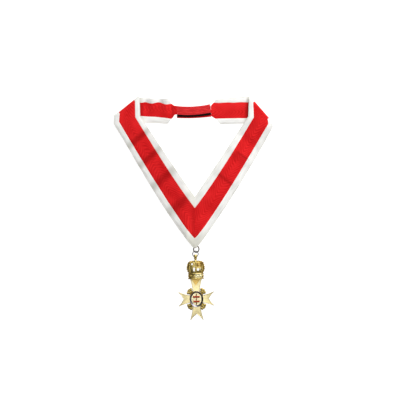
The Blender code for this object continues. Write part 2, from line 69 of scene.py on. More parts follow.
# The ribbon: where its four lines run. A row is a section across one half of the ribbon, and a pair is
# the X and Y at which the section crosses the outer edge, the two seams of the red band and the inner edge.
Section = namedtuple("Section", "name outer seam_out seam_in inner z_outer z_inner")
LEFT = (
    Section("mitre", (2.4, -57.3), (2.4, -42.0), (2.4, 0.1), (2.4, 15.8), 5.9, 1.4),
    Section("dart", (-111.0, 117.7), (-103.2, 120.5), (-80.5, 126.8), (-73.6, 128.4), 5.0, 5.0),
    Section("fold", (-111.8, 129.6), (-104.0, 134.1), (-82.5, 151.3), (-76.0, 156.7), 5.0, 5.0),
    Section("neck", (-70.0, 119.8), (-70.0, 128.5), (-70.0, 147.1), (-70.1, 153.9), 0.6, 1.0),
    Section("nape", (-50.8, 118.9), (-50.8, 127.4), (-50.8, 147.1), (-50.8, 153.0), 0.6, 1.0),
    Section("end", (-35.3, 117.9), (-30.0, 124.9), (-30.5, 145.3), (-34.0, 152.2), 0.8, 1.2),
)
RIGHT = (
    Section("mitre", (2.4, -57.3), (2.4, -42.0), (2.4, 0.1), (2.4, 15.8), 5.9, 1.4),
    Section("dart", (112.0, 114.7), (105.0, 117.4), (84.8, 126.6), (77.0, 127.9), 5.0, 5.0),
    Section("fold", (111.8, 117.9), (106.3, 126.1), (86.1, 149.1), (80.1, 155.9), 5.0, 5.0),
    Section("neck", (73.5, 118.0), (74.9, 125.7), (76.0, 148.0), (76.4, 156.2), 0.6, 0.6),
    Section("nape", (54.6, 117.9), (54.6, 125.5), (54.6, 147.7), (54.6, 154.3), 0.6, 0.6),
    Section("end", (38.2, 117.3), (31.6, 125.1), (28.7, 147.1), (31.5, 152.0), 0.6, 0.6),
)
# How each of an arm's four lines bows outwards: depth, and how fast it comes from the mitre and to the dart
Bow = namedtuple("Bow", "depth rise fall")
LEFT_BOWS = (Bow(4.4, 0.9, 1.6), Bow(3.45, 0.55, 1.05), Bow(1.8, 0.9, 1.3), Bow(0.4, 1.0, 1.5))
RIGHT_BOWS = (Bow(4.7, 0.62, 0.82), Bow(3.7, 0.6, 1.15), Bow(2.15, 0.8, 1.1), Bow(0.5, 1.0, 1.5))
# How the red band narrows past its folded corners: lower and upper point, height of the middle
Taper = namedtuple("Taper", "lower upper z")
LEFT_TAPER = (
    Taper((-25.9, 130.3), (-26.9, 143.5), 2.6),
    Taper((-22.4, 130.9), (-22.4, 142.5), 3.5),
)
RIGHT_TAPER = (Taper((25.4, 129.0), (24.9, 142.7), 0.6),)
TRACK_SHARE = (0.0, 0.217, 0.785, 1.0)  # of the width, at the outer edge, the seams and the inner edge
REST = 0.6 * MM  # height of the middle of a layer that lies on the surface
FOLD_TOP = 5.0 * MM  # height of the upper layer at the shoulders
FOLD_RADIUS = (FOLD_TOP - REST) / 2
MITRE_GAP = 0.03 * MM  # from the mitre seam to the cloth on either side of it
TIP_LOWEST = -55.7 * MM  # the tip of the V is folded blunt here
TIP_RUN = 0.21  # share of the arm over which it comes down from the raised tip
SHOULDER_RUN = 0.18  # share of the arm over which it climbs onto the neck band
WAVES = (0.0, 30.0, 60.5, 95.5, 138.0, 190.0)  # down the arm from the dart to each wave's steep lower side
WAVE_LEAN = 0.35  # share of the second harmonic, which makes a wave's lower side the steeper one
WAVE_SLANT = 0.14  # how far a wave runs up the arm for each length towards its inner edge
WAVE_END = 12.0 * MM  # over which the waves fade away beside the mitre
WAVE_EDGE = 0.9  # how much of a wave is left at the ribbon's free edges
MITRE_SHADE = 1.1  # painted shade on the wavy half along the mitre
UNDER_SHADOW = 1.7  # painted shadow on the neck band where it goes under the shoulder
UNDER_REACH = 7.0 * MM  # over which that fades
# Painted shade of sharp creases across the ribbon, drawn in colour only: where each starts and ends, and how
# deep its shade is
Crease = namedtuple("Crease", "start stop depth")
CREASE_SHADES = (Crease((62.4, 78.0), (77.0, 67.5), 1.5), Crease((36.5, 47.0), (54.6, 33.0), 1.3))
CREASE_SHADE_REACH = 2.6 * MM  # half the width of one
FOLD_SHADE = 1.3  # painted shade along the outside of the folds at the shoulders
EDGE_SHADE = 0.9  # painted shade along the white's free edges, on the same attribute
EDGE_SHADE_FROM = 0.8  # of the way from the seam to the free edge
# Bank: how far the inner edge of an arm stands above the outer one. Cut: the length of the flat ribbon
Half = namedtuple("Half", "name side rows bows taper wave bank ruffle ruffle_shift cut")
HALVES = (
    Half("left", -1, LEFT, LEFT_BOWS, LEFT_TAPER, 1.0, 3.6 * MM, 1.5 * MM, 1.0 * MM, 280 * MM),
    Half("right", 1, RIGHT, RIGHT_BOWS, RIGHT_TAPER, 0.2, 1.0 * MM, 0.4 * MM, 0.2 * MM, 262 * MM),
)
RUFFLE_PITCH = 19.6 * MM
RUFFLE_FIRST = 67.2 * MM  # distance of the first ruffle from the middle of the frame
RUFFLE_RUN = 8.0 * MM  # over which the ruffles fade in beside the arm
# Steps along each stretch of a half
ARM_STEPS = 150
SHOULDER_STEPS = 8
FOLD_STEPS = 14
BAND_STEPS = 70
TAPER_STEPS = 8
TAPER_SLACK = 4  # the greater, the straighter the taper between its corners
UNEVEN_BROAD = 45.0  # how fine the cloth's small unevenness is
UNEVEN_FINE = 130.0
UNEVEN_SHIFT = Vector((7.0, 3.0, 5.0))

# The cloth's own thickness across a strip: share of the width, share of the full half thickness
Column = namedtuple("Column", "share thick")
RED_PROFILE = (
    Column(0.0, 0.86), Column(0.02, 1.0), Column(0.1, 1.0), Column(0.2, 1.0), Column(0.3, 1.0),
    Column(0.4, 1.0), Column(0.5, 1.0), Column(0.6, 1.0), Column(0.7, 1.0), Column(0.8, 1.0),
    Column(0.9, 1.0), Column(0.98, 1.0), Column(1.0, 0.86),
)
# From the free edge to the seam: a rounded edge, a selvedge, a fine groove beside it and the flat
WHITE_PROFILE = (
    Column(0.0, 0.30), Column(0.02, 0.72), Column(0.06, 0.92), Column(0.12, 0.95), Column(0.15, 0.70),
    Column(0.18, 0.70), Column(0.21, 1.0), Column(0.4, 1.0), Column(0.6, 1.0), Column(0.8, 1.0),
    Column(0.96, 1.0), Column(1.0, 0.86),
)

# The fastening: middle line of each layer at three places, its width, thickness and height, and how much
# further its lower edge runs at the right end
Strap = namedtuple("Strap", "name line width thick z lean finish")
STRAPS = (
    Strap("tab_rear", ((-22.4, 132.7), (-4.2, 132.5), (25.0, 134.5)), 13.2, 1.0, 0.5, 0.8, "tab"),
    Strap("fastening_tape", ((-22.4, 134.0), (-4.2, 133.7), (24.9, 136.6)), 12.2, 1.4, 2.0, 0.8, "tape"),
    Strap("tab_front", ((-22.35, 136.7), (-4.2, 136.1), (24.6, 139.4)), 11.8, 1.0, 3.5, 2.2, "stitched"),
)
STRAP_STEPS = 60
LEAN_FROM = 0.88  # share of a strap's length past which its end leans
STRAP_PROFILE = (
    Column(0.0, 0.35), Column(0.02, 0.8), Column(0.05, 1.0), Column(0.2, 1.0), Column(0.35, 1.0),
    Column(0.5, 1.0), Column(0.65, 1.0), Column(0.8, 1.0), Column(0.95, 1.0), Column(0.98, 0.8),
    Column(1.0, 0.35),
)

# The hanger: the rings' mean radius, wire, centre, and tilts about Y and X
Ring = namedtuple("Ring", "name radius wire centre tilt_y tilt_x split")
RINGS = (
    Ring("ring_upper", 4.35, 0.80, (4.6, -57.5, 2.94), -30.0, -8.0, 205.0),
    Ring("ring_lower", 4.1, 0.55, (3.4, -64.1, 3.30), 15.0, 0.0, 20.0),
)
LOOP_REACH = 3.4 * MM  # half the thread loop's length along Y
LOOP_RISE = 1.85 * MM  # half its height
LOOP_CENTRE = Vector((4.6 * MM, -51.6 * MM, 2.34 * MM))

# The jewel, in its own frame: the middle of the cross at the origin, Y up to the bail, Z off its flat back
JEWEL_PLACE = (4.9 * MM, -127.1 * MM, 0.0)
JEWEL_TURN = math.radians(1.4)
PLATE_TOP = 2.0 * MM
TIP_DROP = 0.7 * MM  # how much lower the cross's face is at the tips of its arms
CHAMFER = 0.35 * MM
SUNK_EDGE = 0.25 * MM
SUNK_DEPTH = 0.15 * MM
TIP_CUT = 2.2 * MM  # length cut off the sides of the sharp tips
TIP_LEAST = 0.5 * MM  # lower than the cross's face anywhere
EDGE_STEEP = 0.85  # upward part of a face's normal, under which it belongs to the edge
CrossArm = namedtuple("CrossArm", "turn reach spread notch root start hollow")  # hollow: of the arm's sides
CROSS_ARMS = (
    CrossArm(0, 26.3, 11.0, 17.3, 4.6, 4.4, 1.3),
    CrossArm(90, 33.5, 9.9, 27.0, 4.4, 4.6, 1.25),
    CrossArm(180, 26.8, 11.1, 17.9, 4.6, 4.4, 1.3),
    CrossArm(270, 31.2, 9.9, 21.0, 4.4, 4.6, 0.8),
)
NOTCH_HOLLOW = 1.0  # how far the sides of a notch bend towards the middle
REACH_STEPS = 6  # extrusions along an arm
ROOT_CUTS = 3  # cuts that share an arm's root into four
# The scrolled ornament in one angle between the arms, copied into the other three
Lobe = namedtuple("Lobe", "x y radius")
LOBES = (Lobe(7.7, 13.1, 2.5), Lobe(11.3, 8.9, 2.5), Lobe(10.4, 11.9, 2.1), Lobe(8.3, 9.9, 2.2))
LOBE_Z = 1.1 * MM
LOBE_HEIGHT = 1.05 * MM
FLUTES = 10
FLUTE_DEPTH = 0.84  # a flute's radius as a share of the lobe's
# Heights on the half ball: its foot is pressed flat, and its top, where the flutes end, is pressed in
LOBE_FOOT = -0.3
LOBE_TOP = 0.97
FLUTE_END = 0.98
LOBE_DIMPLE = 0.12
STEM_TURN = math.radians(50)
STEM_WIDTH = 7.0 * MM
STEM_TOP = 0.9 * MM
STEM_ROUND = (0.35 * MM, 0.3 * MM)  # its rounded top: how far in, and up
STEM_STEPS = ((4.5, 0.95), (1.5, 0.8), (1.0, 0.6))  # length, and what is left of the width
TONGUE = ((-1, -6.9, 28.6), (1, 6.9, 28.6), (0, -0.5, 19.0))  # over the upper arm's notch: side, X and Y
TONGUE_SIZE = 10.0 * MM  # of the square that it is drawn from
TONGUE_MIDDLE = 24.0 * MM
TONGUE_TOP = 2.7 * MM
TONGUE_EDGE = 0.3 * MM
TONGUE_SLOPE = 0.6 * MM
Turn = namedtuple("Turn", "height radius")
CROWN_BAND = (
    Turn(28.1, 10.7), Turn(28.1, 11.2), Turn(28.5, 11.4), Turn(29.0, 11.3), Turn(29.3, 10.8),
    Turn(29.5, 10.4), Turn(30.1, 10.4), Turn(34.2, 10.4), Turn(34.5, 10.6), Turn(34.9, 11.1),
    Turn(35.5, 11.2), Turn(35.9, 10.9), Turn(36.2, 10.2), Turn(36.9, 10.0),
)
CROWN_CAP = (
    Turn(36.9, 10.0), Turn(39.4, 11.4), Turn(43.2, 12.4), Turn(48.4, 11.4), Turn(51.2, 10.2),
    Turn(52.6, 7.6), Turn(53.0, 3.0),
)
CAP_STEPS = 4  # finer rows between two of the cap's
CROWN_FLAT = 0.52  # its depth as a share of its radius
CROWN_SIDES = 96
BULGE_MIDDLE = 43.2  # height at which the cap stands out furthest
BULGE_REACH = 16.0
CROWN_WALL = 1.3 * MM
CROWN_TOP = (1.0 * MM, 0.2 * MM)  # the step in its top: how far in, and up
CROWN_EASE = 0.22 * MM
EASE_ANGLE = 50  # degrees, of the edges that are eased
Window = namedtuple("Window", "x y half_width half_height")
WINDOWS = (Window(-2.4, 41.6, 1.35, 3.0), Window(3.1, 41.4, 1.6, 2.0), Window(-5.0, 49.0, 1.4, 1.3))
WINDOW_SIDES = 24
CUT_DEPTH = 40.0 * MM
RIB_TURNS = (-72, -44, 0, 44, 72)  # degrees round the crown
RIB_RADIUS = 0.62 * MM
RIB_ROUND = 3  # how finely a rib is rounded
PEARL_RADIUS = 0.85 * MM
PEARL_SIDES = 16
BALL_RINGS = 12
# As shares of a pearl's radius: where it is cut off and sits, its neck, and its flange's depth and width
PEARL_SEAT = 0.7
PEARL_NECK = 0.1
PEARL_FLANGE = 0.3
PEARL_WIDER = 1.5
PEARL_ROWS = (Turn(39.2, 11.3), Turn(42.0, 12.2), Turn(44.9, 12.2), Turn(47.8, 11.6), Turn(50.4, 10.6))
STUD_TURNS = (-68, -40, -13, 13, 40, 68)
STUD_SEAT = Turn(32.2, 10.4)
STUD_RADIUS = 1.4 * MM
STUD_SIDES = 24
STUD_INSETS = ((0.12, 0.08), (0.22, -0.16), (0.2, 0.3), (0.3, 0.18), (0.3, 0.06))  # inwards, and up
BAIL = (
    Turn(51.8, 2.1), Turn(52.8, 2.2), Turn(53.4, 2.0), Turn(54.0, 1.5), Turn(55.0, 1.4), Turn(56.0, 1.6),
    Turn(56.4, 2.1), Turn(56.9, 2.2), Turn(57.4, 2.0), Turn(58.4, 2.5), Turn(59.7, 2.7), Turn(61.2, 2.6),
    Turn(61.9, 2.2), Turn(62.2, 1.5),
)
BAIL_SIDES = 32
BAIL_Z = 3.3 * MM
BAIL_HOLE_Y = 59.7 * MM
BAIL_HOLE = 1.6 * MM
BAIL_EASE = 0.15 * MM

# The medallion, as offsets from the middle line of its rim: how far out, and the height
RIM_HALF_WIDTH = 8.4 * MM
RIM_HALF_HEIGHT = 10.0 * MM
RIM_SIDES = 96
Offset = namedtuple("Offset", "out z")
RIM_ROWS = (
    Offset(-1.0, 2.0), Offset(1.0, 2.0), Offset(1.1, 2.3), Offset(1.1, 4.1), Offset(1.02, 4.4),
    Offset(0.86, 4.5), Offset(0.7, 4.42), Offset(0.2, 4.02), Offset(-0.5, 3.48), Offset(-1.1, 3.05),
    Offset(-1.25, 2.9), Offset(-1.3, 2.5),
)
FIELD_ROWS = (
    Offset(-1.6, 2.0), Offset(-1.42, 2.3), Offset(-1.42, 2.95), Offset(-1.5, 3.05), Offset(-1.75, 3.08),
    Offset(-1.9, 3.0), Offset(-2.1, 2.98), Offset(-3.4, 3.12), Offset(-5.0, 3.24), Offset(-6.8, 3.3),
)
ENAMEL_LOW = 2.9 * MM
ENAMEL_TOP = 3.8 * MM
ENAMEL_EDGE = 0.15 * MM
STEM_HALF_HEIGHT = 7.7 * MM
STEM_HALF_WIDTH = 0.6 * MM
BAR_HALF_WIDTH = 4.6 * MM
BAR_HALF_HEIGHT = 1.25 * MM
BAR_WAIST = 0.95
WAIST_AT = 0.6  # of the way out to a bar's end
BAR_FLARE = 1.05  # how much wider a bar's end is than its waist
BARS_Y = (3.2 * MM, -3.3 * MM)

# Stitches along the front tab
STITCH_LENGTH = 1.9 * MM
STITCH_THICK = 0.45 * MM
STITCH_STEEP = 0.35  # how deep a stitch's ends go down into the cloth, as a share of its thickness
STITCH_SIDES = 8
STITCH_END = 0.6  # how wide its ends are, as a share of its thickness
SEAM_ROWS = (0.1, 0.5, 0.9)  # of the tab's width
SEAM_FROM = 0.03  # of the tab's length
SEAM_TO = 0.95
SEAM_STITCHES = 16
END_STITCHES = 4  # in the seam across each end


class CollarCloth(bpy.types.PropertyGroup):
    """Sizes and colours of the ribbon and its fastening."""

    thickness: FloatProperty(
        name="Thickness", description="Thickness of the ribbon", default=0.0012, unit="LENGTH"
    )
    wave: FloatProperty(
        name="Wave", description="Half height of the waves along the left arm", default=0.0017, unit="LENGTH"
    )
    pucker: FloatProperty(
        name="Pucker", description="Height of the small unevenness", default=0.0003, unit="LENGTH"
    )
    rib: FloatProperty(
        name="Rib", description="Distance between the ribs of the weave", default=0.0009, unit="LENGTH"
    )
    red: FloatVectorProperty(
        name="Red", description="Bright red of the band", default=(0.76, 0.019, 0.021), subtype="COLOR"
    )
    deep: FloatVectorProperty(
        name="Deep red",
        description="Darker red of the watering",
        default=(0.55, 0.007, 0.009),
        subtype="COLOR",
    )
    white: FloatVectorProperty(
        name="White", description="White of the edgings", default=(0.86, 0.85, 0.82), subtype="COLOR"
    )
    black: FloatVectorProperty(
        name="Black",
        description="Black of the fastening tape",
        default=(0.006, 0.003, 0.003),
        subtype="COLOR",
    )


class CollarJewel(bpy.types.PropertyGroup):
    """Sizes and colours of the rings and the jewel."""

    gold: FloatVectorProperty(
        name="Gold", description="Bright gilding", default=(1.0, 0.87, 0.47), subtype="COLOR"
    )
    deep: FloatVectorProperty(
        name="Deep gold",
        description="Warmer gilding of the tongue",
        default=(0.83, 0.57, 0.165),
        subtype="COLOR",
    )
    # The cross's low places and bevelled edges get this duller gold as painted shade.
    painted_light: FloatVectorProperty(
        name="Worn gold",
        description="Dull gilding of the cross's low places and edges",
        default=(0.46, 0.39, 0.20),
        subtype="COLOR",
    )
    crown: FloatVectorProperty(
        name="Crown gold",
        description="Olive gilding of the crown and the ornaments",
        default=(0.68, 0.54, 0.19),
        subtype="COLOR",
    )
    recess: FloatVectorProperty(
        name="Recess",
        description="Toned gilding in the recesses",
        default=(0.30, 0.19, 0.03),
        subtype="COLOR",
    )
    steel: FloatVectorProperty(
        name="Steel", description="Wire of the lower ring", default=(0.16, 0.16, 0.17), subtype="COLOR"
    )
    # The upper ring's darker steel is painted shade from the ribbon over it.
    dark_steel: FloatVectorProperty(
        name="Dark steel",
        description="Toned wire of the upper ring",
        default=(0.13, 0.105, 0.07),
        subtype="COLOR",
    )
    enamel: FloatVectorProperty(
        name="Enamel",
        description="Red enamel of the small cross",
        default=(0.48, 0.045, 0.004),
        subtype="COLOR",
    )


class CollarStage(bpy.types.PropertyGroup):
    """The camera, the floor and the lights."""

    view_width: FloatProperty(
        name="View width", description="Width of floor that the picture shows", default=0.56, unit="LENGTH"
    )
    view_height: FloatProperty(
        name="Camera height", description="Height of the camera over the floor", default=1.6, unit="LENGTH"
    )
    view_x: FloatProperty(name="View X", description="X under the camera", default=0.0098, unit="LENGTH")
    view_y: FloatProperty(name="View Y", description="Y under the camera", default=0.0113, unit="LENGTH")
    key: FloatProperty(name="Key light", description="Power of the key light in watts", default=24.0)
    top: FloatProperty(name="Top light", description="Power of the top light in watts", default=9.0)
    side: FloatProperty(
        name="Side light", description="Power of the light on the right in watts", default=0.5
    )
    room: FloatProperty(name="Room", description="Brightness of the room on its bright side", default=0.3)


CLASSES = [CollarCloth, CollarJewel, CollarStage]


def registered(cls):
    """Note a class for register()."""
    CLASSES.append(cls)
    return cls


def mm(pair, z=0.0):
    """A table's millimetres as a point in metres, at height z."""
    return Vector((pair[0] * MM, pair[1] * MM, z))


def shaded(colour, by):
    """A colour made darker or lighter."""
    return tuple(channel * by for channel in colour)


def smooth(share):
    """0 to 1 with level ends."""
    held = min(max(share, 0.0), 1.0)
    return held * held * (3 - 2 * held)


# Materials


class Finish:
    """A material and the making of its nodes."""

    def __init__(self, name, **sockets):
        self.material = bpy.data.materials.new(name)
        self.material.use_nodes = True
        self.tree = self.material.node_tree
        self.shader = self.tree.nodes["Principled BSDF"]
        self.fill(**sockets)

    def fill(self, **sockets):
        """Fill the shader's sockets, named with _ for each blank."""
        for socket, value in sockets.items():
            self.put(self.shader.inputs[socket.replace("_", " ")], value)

    def put(self, socket, value):
        """Give a socket a value, or link it where the value is another node's output."""
        if isinstance(value, bpy.types.NodeSocket):
            self.tree.links.new(value, socket)
        elif hasattr(value, "__len__") and len(value) == 3 and socket.type == "RGBA":
            socket.default_value = (*value, 1.0)
        else:
            socket.default_value = value

    def node(self, kind, settings=None, **sockets):
        """A new node with its settings and its sockets filled, by number as _0 or by name."""
        made = self.tree.nodes.new("ShaderNode" + kind)
        for name, value in (settings or {}).items():
            setattr(made, name, value)
        for socket, value in sockets.items():
            key = int(socket[1:]) if socket[0] == "_" else socket.replace("_", " ")
            self.put(made.inputs[key], value)
        return made

    def math(self, operation, first, second=0.0, third=0.0):
        """One Math node."""
        made = self.node("Math", {"operation": operation}, _0=first, _1=second, _2=third)
        return made.outputs[0]

    def mix(self, share, first, second):
        """A blend of two colours."""
        made = self.node("Mix", {"data_type": "RGBA"}, _0=share, _6=first, _7=second)
        return made.outputs[2]

    def spread(self, value, low, high, to_low=0.0, to_high=1.0):
        """A value moved from one range to another and held inside it."""
        made = self.node("MapRange", None, _0=value, _1=low, _2=high, _3=to_low, _4=to_high)
        return made.outputs[0]

    def place(self, scale=1.0):
        """Stretched coordinates: the object's own for one number or three, the cloth's for two."""
        sizes = scale if isinstance(scale, tuple) else (scale, scale, scale)
        if len(sizes) == 2:
            source = self.node("UVMap", {"uv_map": WOVEN}).outputs[0]
        else:
            source = self.node("TexCoord").outputs["Object"]
        return self.node("Mapping", None, Vector=source, Scale=(*sizes, 1.0)[:3]).outputs[0]

    def axes(self, place):
        """The three coordinates of a place, one by one."""
        return self.node("SeparateXYZ", None, _0=place).outputs

    def on_jewel(self):
        """Coordinates in the jewel's own frame."""
        centred = self.node("Mapping", {"vector_type": "TEXTURE"}, Vector=self.place())
        centred.inputs["Location"].default_value = JEWEL_PLACE
        centred.inputs["Rotation"].default_value = (0.0, 0.0, JEWEL_TURN)
        return centred.outputs[0]

    def within(self, value, low, high):
        """1 between two limits, fading to 0 outside them."""
        rise = self.spread(value, low, low + PATCH_SOFT)
        return self.math("MULTIPLY", rise, self.spread(value, high, high + PATCH_SOFT, 1.0, 0.0))

    def cloud(self, scale, detail=2.0, rough=0.5):
        """Soft noise from 0 to 1, the finer the greater the scale."""
        place = self.place(scale)
        made = self.node("TexNoise", None, Vector=place, Scale=1.0, Detail=detail, Roughness=rough)
        return made.outputs["Fac"]

    def bump(self, height, distance, strength=1.0, under=None):
        """Surface relief, over another relief."""
        made = self.node("Bump", None, Strength=strength, Distance=distance, Height=height)
        if under:
            self.put(made.inputs["Normal"], under)
        return made.outputs[0]

    def creased(self, most):
        """How much painted shade the cloth's attribute puts on a point, up to most."""
        shade = self.node("Attribute", {"attribute_name": SHADE_ATTRIBUTE})
        return self.math("MULTIPLY", shade.outputs["Fac"], most)

    def ribs(self, pitch, axis=0):
        """A row of rounded ribs of a pitch in metres, one after another along an axis of the cloth."""
        turn = self.math("MULTIPLY", self.axes(self.place((1.0, 1.0)))[axis], math.tau / pitch)
        return self.math("MULTIPLY_ADD", self.math("SINE", turn), 0.5, 0.5)

    def weave(self, cloth):
        """The relief of the ribs across the ribbon."""
        return self.bump(self.ribs(cloth.rib), RIB_RELIEF, strength=0.4)


WOVEN = "cloth"  # the cloth's UV map, in metres along and across it
# The cloth's attribute of painted shade: 0 where none is painted, and 1 or more on the dark side of a wave,
# beside the mitre, under a shoulder's edge, along a fold, on a crease line and along a white's free edge
SHADE_ATTRIBUTE = "creased"
RIB_RELIEF = 0.0001
CLOUD = (0.3, 0.7)  # the range that a cloud of noise mostly keeps to
WATER_PITCH = 5.0 * MM  # between the nested arches of the watering, along the ribbon
WATER_HALF = 11.5 * MM  # from the edge of the red band to the line on which the arches stand
WATER_ARCH = -3.4  # how many pitches an arch is deep; below 0, it points to where the weave runs from
WATER_POINTED = 1.3  # 1 for a pointed arch, 2 for a round one
WATER_DRIFT = 4.0  # how many pitches the figures wander
WATER_DRIFT_SCALE = (20.0, 80.0)
WATER_DARK = 0.42  # how far the lines reach from red to deep red
WATER_SHOWN_SCALE = (60.0, 150.0)  # of the patches in which the lines are clear or faint
WATER_CLEAR = (0.15, 1.0)  # how clear they are in the faint ones and in the others
WATER_RELIEF = 0.00005
WATER_ROUGH = (0.66, 0.54)  # roughness of a dark line and of a bright one
RED_BROAD_SCALE = (38.0, 70.0)
RED_BROAD = 0.3  # how far the broad patches reach from red to deep red
RED_SHADE_SHARE = 0.45  # how far the painted shade takes the red to its dark
RED_SHADE_DARK = (0.33, 0.004, 0.005)
WHITE_SHADE_SHARE = 0.5  # how far the painted shade takes the white to its grey


def red_ribbon(cloth, name, contrast=1.0):
    """Red watered ribbon: fine ribs across it and nested arches along it where they were crushed."""
    finish = Finish(name, Specular_IOR_Level=0.12, Sheen_Weight=0.12, Sheen_Roughness=0.5)
    finish.fill(Specular_Tint=(1.0, 0.25, 0.22), Sheen_Tint=(1.0, 0.16, 0.14))
    apart = finish.axes(finish.place((1 / WATER_PITCH, 1 / WATER_HALF)))
    aside = finish.math("ABSOLUTE", finish.math("SUBTRACT", apart[1], 1.0))
    arch = finish.math("MULTIPLY", finish.math("POWER", aside, WATER_POINTED), WATER_ARCH)
    drift = finish.math("MULTIPLY", finish.cloud(WATER_DRIFT_SCALE, detail=1.5), WATER_DRIFT)
    field = finish.math("ADD", finish.math("ADD", apart[0], arch), drift)
    lines = finish.math("SINE", finish.math("MULTIPLY", field, math.tau))
    shown = finish.spread(finish.cloud(WATER_SHOWN_SCALE), 0.3, 0.65, *WATER_CLEAR)
    level = finish.math("MULTIPLY_ADD", finish.math("MULTIPLY", lines, shown), WATER_DARK * contrast, 0.5)
    broad = finish.spread(finish.cloud(RED_BROAD_SCALE, detail=1.5), *CLOUD, -RED_BROAD, RED_BROAD)
    watered = finish.mix(finish.math("ADD", level, broad), tuple(cloth.deep), tuple(cloth.red))
    # The cloth's painted shade attribute darkens the watered red.
    finish.fill(
        Base_Color=finish.mix(finish.creased(RED_SHADE_SHARE), watered, RED_SHADE_DARK),
        Roughness=finish.spread(lines, -1.0, 1.0, *WATER_ROUGH),
        Normal=finish.bump(lines, WATER_RELIEF, strength=0.5, under=finish.weave(cloth)),
    )
    return finish.material


QUILT_PITCH = 2.3 * MM  # between the quilting lines of the front tab
QUILT_RELIEF = 0.0003
QUILT_RIDGE = 0.6  # how much paler a ridge is, from the dark to the pale red: painted highlight on the ridges, painted shade between them
QUILT_BROKEN = (-0.2, 0.5)  # and how much the patches add
QUILT_BROKEN_SCALE = (120.0, 500.0)
QUILT_LIT_RED = (0.78, 0.035, 0.04)
QUILT_SHADED_RED = (0.50, 0.008, 0.010)


def quilted_tab(cloth):
    """The front tab's ribbon, in soft ridges between the lines of its stitching, painted paler on the ridges
    and darker between them as painted light.
    """
    finish = Finish("red_quilted", Roughness=0.65, Specular_IOR_Level=0.12)
    finish.fill(Sheen_Weight=0.2, Sheen_Roughness=0.5, Sheen_Tint=(1.0, 0.3, 0.3))
    ridge = finish.ribs(QUILT_PITCH, axis=1)
    broken = finish.spread(finish.cloud(QUILT_BROKEN_SCALE), *CLOUD, *QUILT_BROKEN)
    level = finish.math("ADD", finish.math("MULTIPLY", ridge, QUILT_RIDGE), broken)
    finish.fill(
        Base_Color=finish.mix(level, QUILT_SHADED_RED, QUILT_LIT_RED),
        Normal=finish.bump(ridge, QUILT_RELIEF, strength=0.6, under=finish.weave(cloth)),
    )
    return finish.material


TIP_SHADE = (-58.0 * MM, -20.0 * MM)  # painted shade: the white is greyer towards the tip: Y of full and of no grey
WHITE_SHADE_GREY = (0.62, 0.61, 0.53)
WHITE_SHADE = 0.9  # of its duller patches
WHITE_PATCH_SCALE = (70.0, 260.0)
WHITE_THREAD_SCALE = (500.0, 2600.0)
WHITE_THREAD_RELIEF = 0.00008


def white_ribbon(cloth):
    """White woven edging: the same ribs and faintly uneven, greyed by painted shade towards the tip and where
    the cloth's shade attribute is painted.
    """
    finish = Finish("white_edging", Roughness=0.7, Sheen_Weight=0.1, Specular_IOR_Level=0.15)
    patches = finish.spread(finish.cloud(WHITE_PATCH_SCALE), 0.3, 0.62)
    woven = finish.mix(patches, shaded(cloth.white, WHITE_SHADE), tuple(cloth.white))
    height = finish.axes(finish.place())[1]
    # painted shade greying the white towards the tip
    tip_shaded = finish.mix(finish.spread(height, *TIP_SHADE), WHITE_SHADE_GREY, woven)
    thread = finish.cloud(WHITE_THREAD_SCALE, detail=1.0)
    finish.fill(
        Base_Color=finish.mix(finish.creased(WHITE_SHADE_SHARE), tip_shaded, WHITE_SHADE_GREY),
        Normal=finish.bump(thread, WHITE_THREAD_RELIEF, strength=0.3, under=finish.weave(cloth)),
    )
    return finish.material


TAPE_SCALE = 900.0
TAPE_LIGHT = 2.0  # how much lighter the ends of the pile are
TAPE_RELIEF = 0.0004


def black_tape(cloth):
    """Black fastening tape: a short napped pile."""
    finish = Finish("fastening_tape", Roughness=0.9, Specular_IOR_Level=0.08)
    grain = finish.cloud(TAPE_SCALE, detail=3.0, rough=0.7)
    finish.fill(
        Base_Color=finish.mix(grain, tuple(cloth.black), shaded(cloth.black, TAPE_LIGHT)),
        Normal=finish.bump(grain, TAPE_RELIEF, strength=0.8),
    )
    return finish.material


THREAD_SCALE = 1800.0
THREAD_SHADE = 0.7
THREAD_RELIEF = 0.00006


def spun_thread(name, colour):
    """Sewing thread, a little uneven in its dye and its surface."""
    finish = Finish(name, Roughness=0.55, Specular_IOR_Level=0.3)
    ply = finish.cloud(THREAD_SCALE)
    finish.fill(
        Base_Color=finish.mix(ply, shaded(colour, THREAD_SHADE), tuple(colour)),
        Normal=finish.bump(ply, THREAD_RELIEF, strength=0.5),
    )
    return finish.material


WIRE_SCALE = (900.0, 900.0, 3000.0)
WIRE_DULL = 0.6
WIRE_ROUGH = (0.2, 0.38)


def wire_steel(name, colour):
    """Steel wire with the fine wear of use."""
    finish = Finish(name, Metallic=1.0)
    wear = finish.cloud(WIRE_SCALE, detail=3.0)
    finish.fill(
        Base_Color=finish.mix(wear, shaded(colour, WIRE_DULL), tuple(colour)),
        Roughness=finish.spread(wear, *CLOUD, *WIRE_ROUGH),
    )
    return finish.material


# Boxes in the jewel's own frame of painted highlight and painted shade on its metal: X from and to, Y from and
# to, colour
Patch = namedtuple("Patch", "left right low high colour")
HIGHLIT_BAND = Patch(-1.9 * MM, 8.3 * MM, 29.6 * MM, 34.4 * MM, (1.0, 0.93, 0.62))
SHADED_CAP = Patch(0.0, 9.0 * MM, 44.4 * MM, 50.4 * MM, (0.18, 0.10, 0.02))
HIGHLIT_CAP = Patch(4.2 * MM, 6.2 * MM, 39.9 * MM, 42.2 * MM, (1.0, 0.97, 0.85))
PATCH_SOFT = 1.8 * MM  # over which a patch fades into the rest
BLOTCH_SCALE = 300.0
BLOTCH_LEAST = 0.3  # of a patch is left where the noise breaks it up
# A gilding: the heights of its toned recesses and of its bright tops, its roughness, relief and unevenness; on
# the cross the toning of its low tips and bevels is painted shade
Gilt = namedtuple("Gilt", "name low high rough relief uneven", defaults=(0.00002, 0.2))
